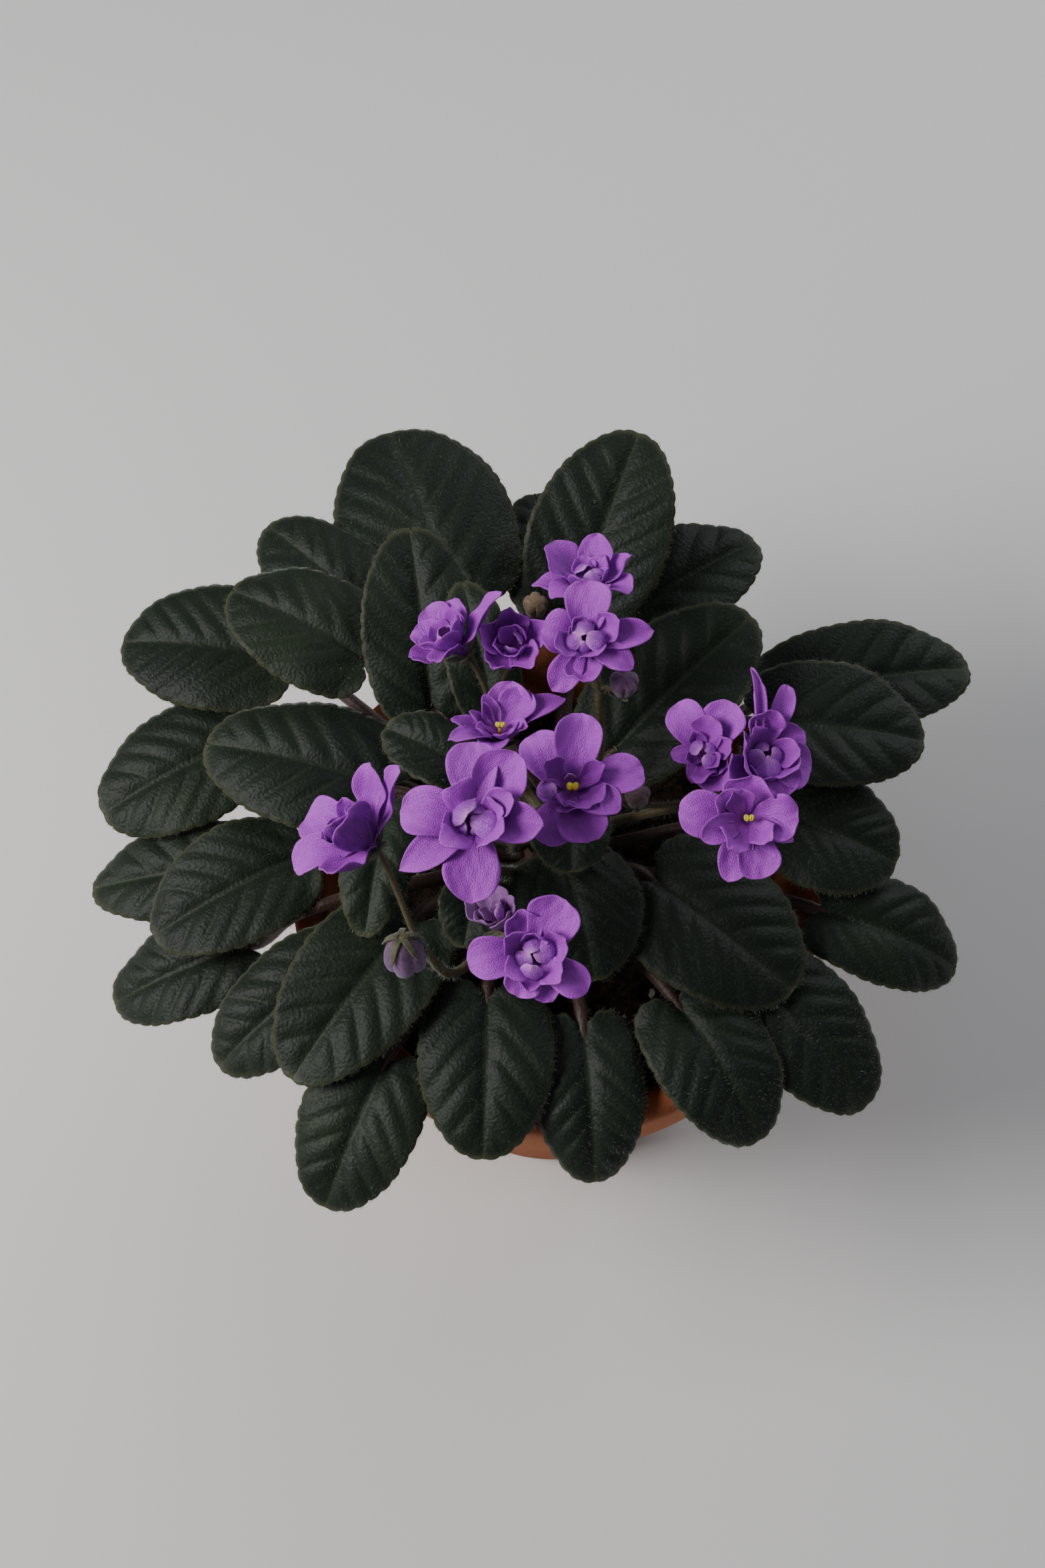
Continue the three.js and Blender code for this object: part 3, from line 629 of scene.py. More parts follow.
# %% [markdown]
# Water drains through three round holes in the floor. Cutting them with a Boolean keeps their edges sharp,
# as punched clay is.

# %% Drain holes
HOLES = 3
HOLE_RADIUS = 5
HOLES_AT = 24

drills = bmesh.new()
for i in range(HOLES):
    spot = HOLES_AT * bearing(90 + 360 / HOLES * i)
    bmesh.ops.create_cone(drills, cap_ends=True, segments=40, radius1=HOLE_RADIUS, radius2=HOLE_RADIUS,
                          depth=30, matrix=Matrix.Translation(spot.tolist()))
drill = new_object("drill", as_mesh(drills))
shell.modifiers.new("drain", "BOOLEAN").object = drill
pot_mesh = applied(shell)
bpy.data.objects.remove(drill)
new_layers(pot_mesh)
print("pot faces:", finish_piece("pot", [pot_mesh], [terracotta]))

# %% [markdown]
# Potting soil is dark peat with bits of bark and a few white grains of perlite. The two differ only in
# colour and in how coarse they are.

# %% Earth
EARTH_SPECK = (0.09, 0.055, 0.035)

earth, tree, shader = new_material("earth", Roughness=0.95, Specular_IOR_Level=0.2)
place = object_place(tree)
lumps = mottle(tree, place, 420.0, 3.0)
relief, specks = grain(tree, place, 1500.0)
color = ramp(tree, lumps, (0.0, (0.006, 0.004, 0.003)), (0.5, (0.022, 0.013, 0.008)),
             (1.0, (0.06, 0.035, 0.02)))
coat(tree, shader, tint(tree, color, specks, 0.4, EARTH_SPECK), relief, 0.0009)

perlite, tree, shader = new_material("perlite", Roughness=0.8)
place = object_place(tree)
relief, specks = grain(tree, place, 2500.0)
color = ramp(tree, mottle(tree, place, 300.0, 2.5), (0.0, (0.32, 0.29, 0.25)), (1.0, (0.62, 0.60, 0.56)))
coat(tree, shader, color, relief, 0.0004)
print("earth and perlite:", [len(made.node_tree.nodes) for made in (earth, perlite)], "nodes")

# %% [markdown]
# The soil fills the pot to well below its lip. Its solid is spun again with many rings on its top, which
# noise of three sizes pushes up and down, less so near the wall.

# %% Soil bed
SOIL_TOP = 106
SOIL_RADIUS = 57.5
LUMPS = [(1.6, 0, 0.10), (0.9, 9, 0.35), (0.4, 5, 1.1)]  # height, seed and how many to a millimetre

rings = [(r, SOIL_TOP) for r in np.linspace(57, 0, 34)]
bm = spun([(0, 8.3), (39, 8.3), (54, 90), (57.6, SOIL_TOP - 1.5)] + rings, 120)
for vert in bm.verts:
    if vert.co.z > SOIL_TOP - 0.5:
        x, y, _ = vert.co
        fall = min(1, (SOIL_RADIUS - math.hypot(x, y)) / 4)
        for tall, seed, often in LUMPS:
            vert.co.z += fall * tall * noise.noise(Vector((x, y, seed)) * often)
bed = as_mesh(bm)
print("soil bed:", len(bed.polygons), "faces")

# %% [markdown]
# A few hundred crumbs lie on the bed. A crumb is a small ball of 20 faces, squashed, turned and dented a
# different way each time. Every thirteenth or so is perlite.

# %% Crumbs
CRUMBS = 520
CRUMB_FACES = 20
CRUMBS_WITHIN = 55

crumbs = bmesh.new()
rng = np.random.default_rng(2)
for i in range(CRUMBS):
    reach, turn = CRUMBS_WITHIN * math.sqrt(rng.uniform(0, 1)), rng.uniform(0, 2 * math.pi)
    size = rng.uniform(0.5, 1.5)
    squash = Matrix.Diagonal((size * rng.uniform(0.7, 1.5), size * rng.uniform(0.6, 1.2), size * 0.7, 1))
    turned = Matrix.Rotation(rng.uniform(0, 6.3), 4, "Z") @ Matrix.Rotation(rng.uniform(-0.5, 0.5), 4, "X")
    at = Matrix.Translation((reach * math.cos(turn), reach * math.sin(turn), SOIL_TOP + 0.3 * size))
    made = bmesh.ops.create_icosphere(crumbs, subdivisions=1, radius=1, matrix=at @ turned @ squash)["verts"]
    for vert in made:
        vert.co += noise.noise_vector(Vector(vert.co) * 0.9) * 0.35 * size
crumb_mesh = as_mesh(crumbs)
for index, polygon in enumerate(crumb_mesh.polygons):
    polygon.material_index = 1 if (index // CRUMB_FACES) % 13 == 4 else 0
    polygon.use_smooth = False
print("soil faces:", finish_piece("soil", [bed, crumb_mesh], [earth, perlite]))

# %% [markdown]
# An african violet's leaf is a thick, dark green blade covered in short clear hairs. The light catches the
# hairs at grazing angles, which gives the velvet look: a silvery sheen on the side that turns away. The
# skin between the veins is finely pebbled, the edge is paler, and the veins are painted paler as sheen.
# The underside is paler and often reddish.

# %% Leaf skin
LEAF_CLOUD = (0.008, 0.014, 0.010)
# painted sheen along the veins
PAINTED_VEIN_SHEEN = (0.030, 0.042, 0.020)
LEAF_SPECK = (0.038, 0.050, 0.040)
LEAF_EDGE = (0.085, 0.088, 0.045)

leaf_skin, tree, shader = new_material("leaf_skin", Roughness=0.55, Specular_IOR_Level=0.25,
                                       Sheen_Weight=0.19,
                                       Sheen_Roughness=0.35, Sheen_Tint=(0.62, 0.72, 0.66, 1))
skin = surface_layer(tree)
vein, margin, _ = mark_layers(tree)
below = parts_of(tree, skin)[2]
tone = mottle(tree, object_place(tree), 30.0, 2.5)
blotch = mottle(tree, skin, 0.35, 2.5)
pebbles = add(tree, "ShaderNodeTexVoronoi", {"Vector": skin, "Scale": 1.35}, feature="SMOOTH_F1")
relief, specks = grain(tree, skin, 5.0)
color = ramp(tree, tone, (0.1, (0.004, 0.008, 0.004)), (0.6, (0.007, 0.014, 0.006)),
             (1.0, (0.014, 0.025, 0.009)))
color = tint(tree, color, blotch, 0.5, LEAF_CLOUD)
# painted sheen: the veins are drawn paler
color = tint(tree, color, vein, 0.35, PAINTED_VEIN_SHEEN)
color = tint(tree, color, specks, 0.30, LEAF_SPECK)
color = tint(tree, color, margin, 0.55, LEAF_EDGE)
under = ramp(tree, blotch, (0.0, (0.10, 0.085, 0.05)), (1.0, (0.14, 0.07, 0.055)))
pebble_height = math_node(tree, "MULTIPLY", pebbles.outputs["Distance"], -1.6)
skin_height = math_node(tree, "MULTIPLY_ADD", relief, 0.22, pebble_height)
coat(tree, shader, mix(tree, below, color, under), skin_height, 0.00022, 0.5)
print("leaf skin:", len(tree.nodes), "nodes")

# %% [markdown]
# A hair is clear. True glass would be slow to render and hardly seen at this size, so it is a glossy grey
# that gets paler towards its tip. Leaf stalks are thick and juicy, red-brown where they are in the light
# and greener towards the crown. Flower stalks are thinner and olive brown. Both use one material made
# twice with its own colours.

# %% Hair and stalk skins
STALK_SPECK = (0.05, 0.02, 0.015)

hair, tree, shader = new_material("hair", Roughness=0.4, Specular_IOR_Level=0.6)
tip = mark_layers(tree)[0]
color = ramp(tree, tip, (0.0, (0.03, 0.04, 0.025)), (0.4, (0.09, 0.105, 0.08)), (1.0, (0.22, 0.24, 0.20)))
tree.links.new(color, shader.inputs["Base Color"])


def stalk_material(name, near, far, blush):
    material, tree, shader = new_material(name, Roughness=0.42, Specular_IOR_Level=0.45, Sheen_Weight=0.25,
                                          Sheen_Tint=(0.8, 0.7, 0.65, 1))
    skin = surface_layer(tree)
    relief, specks = grain(tree, skin, 3.0)
    color = ramp(tree, mark_layers(tree)[0], (0.05, near), (0.85, far))
    color = tint(tree, color, brushed(tree, skin, 0.12, 1.6, 3.0), 0.55, blush)
    coat(tree, shader, tint(tree, color, specks, 0.35, STALK_SPECK), relief, 0.00018, 0.8)
    return material


leaf_stalk_skin = stalk_material(
    "leaf_stalk_skin", near=(0.022, 0.016, 0.007), far=(0.040, 0.014, 0.009), blush=(0.055, 0.011, 0.009))
flower_stalk_skin = stalk_material(
    "flower_stalk_skin", near=(0.050, 0.046, 0.010), far=(0.074, 0.060, 0.016), blush=(0.080, 0.038, 0.015))
skins = (hair, leaf_stalk_skin, flower_stalk_skin)
print("hair and stalk skins:", [len(made.node_tree.nodes) for made in skins], "nodes")

# %% [markdown]
# The crown is the short stem that everything grows from. Old leaf scars make it knobbly, so it is spun
# with rings that swell and shrink, and noise moves its points.

# %% Crown
CROWN_AT = np.array([-2.0, 6.0])
CROWN_RADIUS = 7
CROWN_FOOT = 92
CROWN_TOP = 141
RINGS = [112, 117, 122, 127, 132, 137]

knobbly = [(CROWN_RADIUS - 0.3 * math.cos(z), z) for z in np.linspace(94, 137, 44)]
cap = [(6.2, 139), (4.6, 140.4), (2.4, 140.9), (0, CROWN_TOP)]
bm = spun([(0, CROWN_FOOT), (6.6, 92.2)] + knobbly + cap, 48)
for vert in bm.verts:
    vert.co += noise.noise_vector(Vector(vert.co) * 0.35) * 0.45
bmesh.ops.translate(bm, verts=bm.verts[:], vec=(*CROWN_AT, 0))
crown_mesh = as_mesh(bm)
surface, marks = new_layers(crown_mesh)
for vert in crown_mesh.vertices:
    x, y = vert.co.xy - Vector(CROWN_AT)
    marks.data[vert.index].vector = ((vert.co.z - CROWN_FOOT) / (CROWN_TOP - CROWN_FOOT), 0, 0)
    surface.data[vert.index].vector = (vert.co.z, CROWN_RADIUS * math.atan2(y, x), 0)
print("crown faces:", finish_piece("crown", [crown_mesh], [leaf_stalk_skin]))

# %% [markdown]
# Every leaf is listed: the middle of its base and its tip as x, y and height above the rim, its
# width, how far it bows up along its length, how far its edges lift, and the ring and bearing where its
# stalk leaves the crown.

# %% Leaf table
LEAVES = {
    "back_outer": ((-30, 81, 6), (-47, 131, 8), 50, 4, -2, (1, 107)),
    "back_tall": ((6, 73, 16), (22, 114, 34), 38, 2, 3, (2, 83)),
    "back_under": ((3, 79, 1), (-6, 118, -4), 31, 3, -1, (0, 85)),
    "back_right": ((22, 73, 10), (55, 94, 10), 30, 3, 1, (1, 66)),
    "right_tall": ((15, 28, 18), (50, 58, 34), 36, 2, 3, (3, 62)),
    "right_far": ((59, 48, 6), (112, 58, 4), 33, 4, 2, (0, 35)),
    "right_mid": ((53, 36, 17), (96, 31, 15), 36, 3, 1, (3, 28)),
    "right_low": ((60, 11, 12), (88, 0, 6), 34, 3, -1, (2, 5)),
    "front_right": ((25, -8, 14), (59, -36, 9), 40, 3, -1, (3, 330)),
    "front_mid": ((1, -6, 20), (9, -35, 14), 34, 3, -1, (3, 290)),
    "front_left": ((-38, -19, 12), (-67, -58, 6), 35, 4, 2, (2, 214)),
    "front_low": ((-18, -38, 10), (-19, -77, 1), 34, 4, -1, (2, 252)),
    "left_low": ((-69, 1, 7), (-105, -18, 0), 33, 3, 1, (2, 180)),
    "left_far": ((-86, 37, 2), (-122, 19, -6), 36, 3, -1, (0, 140)),
    "left_big": ((-44, 19, 13), (-93, 32, 11), 37, 4, -2, (3, 168)),
    "left_back_far": ((-76, 61, 6), (-119, 67, 2), 38, 3, -1, (1, 145)),
    "left_back": ((-52, 53, 21), (-87, 72, 22), 33, 3, -1, (3, 138)),
    "back_left": ((-48, 68, 10), (-80, 99, 10), 31, 3, -1, (2, 127)),
    "back_left_tall": ((-33, 39, 21), (-39, 82, 38), 32, 2, 2, (4, 128)),
    "left_under": ((-80, 3, -2), (-125, 1, -15), 28, 3, -1, (0, 185)),
    "left_lowest": ((-83, -18, -7), (-118, -29, -22), 28, 3, -1, (1, 190)),
    "front_left_under": ((-54, -26, 6), (-87, -51, -6), 29, 5, -1, (1, 222)),
    "front_left_low": ((-44, -54, 5), (-59, -86, -12), 31, 4, -1, (0, 235)),
    "front_mid_low": ((6, -45, 6), (9, -80, -10), 28, 6, -1, (0, 280)),
    "front_right_low": ((30, -39, 8), (50, -71, -4), 31, 6, -1, (1, 300)),
    "right_front_low": ((50, -31, 5), (79, -60, -10), 32, 5, -1, (0, 330)),
    "right_under": ((69, -12, 4), (105, -22, -12), 30, 4, -1, (1, 350)),
}
YOUNG_LEAVES = {
    "young_front": ((2, 6, 28), (3, -11, 27), 21, 2, 1, (5, 300)),
    "young_left_front": ((-44, 9, 21), (-49, -24, 16), 19, 3, -1, (4, 185)),
    "young_back": ((-17, 35, 25), (-25, 67, 36), 19, 2, 1, (4, 95)),
    "young_left": ((-25, 20, 23), (-45, 31, 23), 19, 2, 1, (4, 158)),
    "young_front_left": ((-21, -12, 22), (-24, -28, 19), 16, 2, 1, (3, 225)),
}
print("leaves:", len(LEAVES) + len(YOUNG_LEAVES))

# %% [markdown]
# A blade is heart-shaped to round, and every african violet leaf has rounded teeth along its edge. The
# outline is a smooth curve through a few points, as parts of the leaf's length and width. Where its points
# lie close together the curve would get more faces, so its length is measured and the grid spread evenly
# over it.

# %% Leaf outline
LEAF_OUTLINE = [(0, 0), (-0.11, 0.16), (-0.07, 0.35), (0.13, 0.47), (0.4, 0.5), (0.67, 0.43), (0.88, 0.28),
                (0.98, 0.13), (1, 0)]
EDGE_REACH, EDGE_PART, edge_length = even_reach(LEAF_OUTLINE, 400, [1, 0.8])


def above_rim(point):
    return np.array(point, float) + [0, 0, POT_TOP]


def leaf_frame(base, tip):
    """A leaf's base, its directions along, aside and out of its upper face, and its length."""
    origin = above_rim(base)
    along = above_rim(tip) - origin
    length = np.linalg.norm(along)
    along = along / length
    side = unit(np.cross(UP, along))
    return origin, np.stack([along, side, np.cross(along, side)]), length


print("outline length over leaf length:", round(edge_length, 2))

# %% [markdown]
# The grid of a blade is pulled to its outline, its edge gets teeth, the midrib is sunk in a groove, and
# the skin puffs up between the side veins, as the leaf's cells swell faster than its veins. A sculpted
# mesh would look the same, but it couldn't be made 32 times over with each leaf a little different.

# %% Blade shape
TOOTH_LENGTH = 3.3
TOOTH_HEIGHT = 0.55
PUFF = 0.018
VEIN_STEP = 0.195
GROOVE = 0.9


def side_veins(fx, fy, y, step, sway):
    """How far a point is from the middle between two side veins, from -1 to 1. The veins curve forward."""
    rank = (fx - 0.75 * fy - 0.9 * fy**2) / step + 0.18 * np.sign(y) + 0.25 * np.sin(3 * fx + sway)
    return 2 * (rank - np.floor(rank)) - 1


def blade_shape(leaf, rng):
    base, tip, width, bow, lift, _ = leaf
    origin, axes, length = leaf_frame(base, tip)
    teeth = round(1.3 * length / TOOTH_LENGTH)
    puff = PUFF * length
    sway = rng.uniform(0, 6.3, 4)
    vein_step = VEIN_STEP + rng.uniform(-0.015, 0.015)

    def shape(u, t):
        out = np.abs(u)
        part = np.interp(t, EDGE_REACH, EDGE_PART)
        edge = through(LEAF_OUTLINE, part)
        x = (part**1.6 * (1 - out) + edge[:, 0] * out) * length
        y = width * edge[:, 1] * u
        away = unit(np.stack([x - 0.42 * length, y], 1) + 1e-9)
        tooth = (np.abs(np.sin(np.pi * teeth * t)) ** 0.6 - 0.6) * TOOTH_HEIGHT * out**12
        x, y = x + away[:, 0] * tooth, y + away[:, 1] * tooth
        fx, fy = x / length, np.abs(y) / length
        between = side_veins(fx, fy, y, vein_step, sway[0])
        inner = 1 - np.exp(-(y / 2.6) ** 2)
        fade = inner * (1 - out**5) * np.clip(6 * (1.02 - fx), 0, 1) * np.clip(8 * (fx + 0.1), 0, 1)
        bulge = puff * (1 - between**2) * fade
        groove = GROOVE * np.exp(-(y / 1.2) ** 2) * np.clip(1 - fx, 0, 1) ** 0.7
        ripple = out**3 * (0.8 * np.sin(9 * t + sway[1] + 2 * np.sign(u)) + 0.5 * np.sin(21 * t + sway[2]))
        ripple = ripple * np.clip(6 * t, 0, 1) * np.clip(9 * (1 - t), 0, 1)
        middle = np.clip(fx, 0, 1)
        z = (4 * bow * middle * (1 - middle) + 4 * lift * edge[:, 1] ** 2 * u**2
             + 8 * out * (1 - out) * edge[:, 1] + bulge - groove + ripple)
        veins = np.exp(-((1 - np.abs(between)) / 0.14) ** 2) * inner * (1 - out**3) + np.exp(-(y / 0.8) ** 2)
        margin = np.exp(-((1 - out) * width * edge[:, 1] / 0.45) ** 2) * np.clip(6 * t, 0, 1)
        places = np.stack([x, y, np.zeros_like(x)], 1)
        marks = np.stack([np.clip(veins, 0, 1), margin, fx], 1)
        return origin + np.stack([x, y, z], 1) @ axes, places, marks

    return shape


print("blades ready, with a tooth every", TOOTH_LENGTH, "mm")

# %% [markdown]
# A leaf stalk leaves the crown level, bends up and clears the pot's lip, runs under the notch of its blade
# and tapers away along the underside as the midrib. Its round section follows a smooth curve through a few
# points.

# %% Leaf stalk path
POT_LIP = 66


def leave_crown(ring, direction, radius):
    """Where a stalk starts just inside the crown, and the next point straight out of it."""
    middle, out = np.array([*CROWN_AT, RINGS[ring]]), bearing(direction)
    return middle + out * (CROWN_RADIUS - 1), middle + out * (CROWN_RADIUS + 3 * radius)


def petiole_shape(leaf, radius):
    base, tip, _, bow, _, (ring, direction) = leaf
    origin, axes, length = leaf_frame(base, tip)

    def rib(x, drop):
        middle = min(max(x, 0), 1)
        return origin + np.array([length * x, 0, 4 * bow * middle * (1 - middle) - drop]) @ axes

    start, out = leave_crown(ring, direction, radius)
    near = rib(-0.12, radius + 0.9)
    middle = out + 0.55 * (near - out) + [0, 0, 0.04 * np.linalg.norm(near - out)]
    reach = math.hypot(near[0], near[1])
    if reach > POT_LIP:
        middle = out + POT_LIP / reach * (near - out)
        middle[2] = max(middle[2], POT_TOP + radius + 2)
    path, total = smooth_path([start, out, middle, near, rib(0.1, 2.4), rib(0.4, 2.0), rib(0.75, 1.3)], 60)
    blade_part = 0.85 * length / total
    radii = [(0, 1.15 * radius), (0.15, radius), (1 - blade_part, 0.85 * radius),
             (1 - 0.85 * blade_part, 0.6 * radius), (1, 0.15 * radius)]
    return stalk_shape(path, radii)


print("a stalk starts at", leave_crown(3, 180, 2)[0].round(1))

# %% [markdown]
# Now each leaf is made: the blade as a thin sheet, the stalk as a tube, and hairs on the blade's upper
# face, along its edge and round its stalk. The same few steps repeat for every row of the two tables, with
# the leaf's own seed. Full leaves and young ones differ in the thickness of the stalk, in how many hairs
# they have and in how fine their grid is.

# %% Leaves
BLADE_THICKNESS = 0.6
USUAL_WIDTH = 35


def make_leaf(name, leaf, seed, radius, density, rows, columns):
    rng = np.random.default_rng(seed)
    blade = blade_shape(leaf, rng)
    petiole = petiole_shape(leaf, radius)
    size = leaf[2] / USUAL_WIDTH
    parts = [
        sheet(columns, rows, blade, BLADE_THICKNESS, 0),
        stalk(14, 40, petiole, 1),
        hairs(blade, rng, int(density * size**2), 1.1, 0.030, 2, lean=0.7),
        hairs(blade, rng, int(0.16 * density * size), 0.9, 0.030, 2, edge=True),
        hairs(petiole, rng, int(0.35 * density), 1.4, 0.035, 2, lean=0.5),
    ]
    return finish_piece("leaf_" + name, parts, [leaf_skin, leaf_stalk_skin, hair])


total = 0
for seed, (name, leaf) in enumerate(LEAVES.items()):
    total += make_leaf(name, leaf, 100 + seed, radius=2.0, density=2600, rows=110, columns=28)
for seed, (name, leaf) in enumerate(YOUNG_LEAVES.items()):
    total += make_leaf(name, leaf, 200 + seed, radius=1.4, density=2400, rows=80, columns=22)
print("leaf faces:", total)

# %% [markdown]
# The petals of this double kind are smooth and slightly crystalline, and their glitter is painted in as
# pale specks. They are lavender, darker towards the root, partly their own deeper colour and partly
# painted shade of the throat, with dark streaks near the root, darker patches at random and fine veins
# that fan out from the root. They are paler and pinker towards the tip, and a thin pale band along the
# edge is partly their own paler margin and partly a painted highlight. Their backs are paler, and made
# paler still as painted light against the shade on them. All this follows where a point lies on the
# petal, so one material with its own three tones serves every petal.

# %% Petal material
def fan_lines(tree, skin, along, across):
    """Fine veins that fan out from a petal's root, bend a little and fade towards its rim."""
    bend = noise_of(tree, skin, 0.35, 1.0)
    fan = math_node(tree, "MULTIPLY_ADD", bend, 2.4, math_node(tree, "MULTIPLY", across, 7.5))
    line = math_node(tree, "MULTIPLY_ADD", math_node(tree, "PINGPONG", fan, 0.5), -7.0, 1.0, clamp=True)
    return math_node(tree, "MULTIPLY", line, math_node(tree, "MULTIPLY_ADD", along, -1.0, 1.15, clamp=True))


def petal_material(name, deep, body, pale):
    material, tree, shader = new_material(name, Roughness=0.45, Specular_IOR_Level=0.38, Sheen_Weight=0.08,
                                          Sheen_Tint=(0.95, 0.55, 1.0, 1))
    skin = surface_layer(tree)
    along, across, rim = mark_layers(tree)
    below = parts_of(tree, skin)[2]
    line = fan_lines(tree, skin, along, across)
    near_root = math_node(tree, "MULTIPLY_ADD", along, -0.75, 1.0)
    streak = math_node(tree, "MULTIPLY", brushed(tree, skin, 0.20, 1.3, 4.5), near_root)
    crystals = add(tree, "ShaderNodeTexVoronoi", {"Vector": skin, "Scale": 3.6}).outputs["Distance"]
    painted_glitter = math_node(tree, "MULTIPLY_ADD", crystals, -5.0, 1.1, clamp=True)
    # partly painted shade: darker towards the root, in the throat
    color = ramp(tree, along, (0.08, deep), (0.45, body), (0.84, body), (1.0, pale))
    color = tint(tree, color, mottle(tree, object_place(tree), 90.0, 2.4), 0.22, pale)
    color = tint(tree, color, mottle(tree, skin, 0.30, 2.6), 0.22, deep)
    color = tint(tree, color, streak, 0.72, deep)
    color = tint(tree, color, line, 0.60, deep)
    # partly painted highlight: a pale band along the thin edge, over the petal's own paler margin
    color = tint(tree, color, rim, 0.60, pale)
    # partly painted light: the backs are paler, and made paler still against their shade
    color = tint(tree, color, below, 0.75, pale)
    # painted glitter: pale specks where the crystal cells are
    color = tint(tree, color, painted_glitter, 0.30, pale)
    coat(tree, shader, color, math_node(tree, "MULTIPLY_ADD", line, -0.8, crystals), 0.00016, 0.9)
    return material


petal = petal_material("petal", (0.075, 0.001, 0.155), (0.225, 0.003, 0.39), (0.5, 0.07, 0.67))
ruffle = petal_material("ruffle", (0.15, 0.008, 0.26), (0.4, 0.066, 0.58), (0.69, 0.27, 0.77))
dusky_petal = petal_material("dusky_petal", (0.06, 0.01, 0.095), (0.19, 0.045, 0.25), (0.36, 0.15, 0.42))
print("petal materials:", petal.name, ruffle.name, dusky_petal.name)
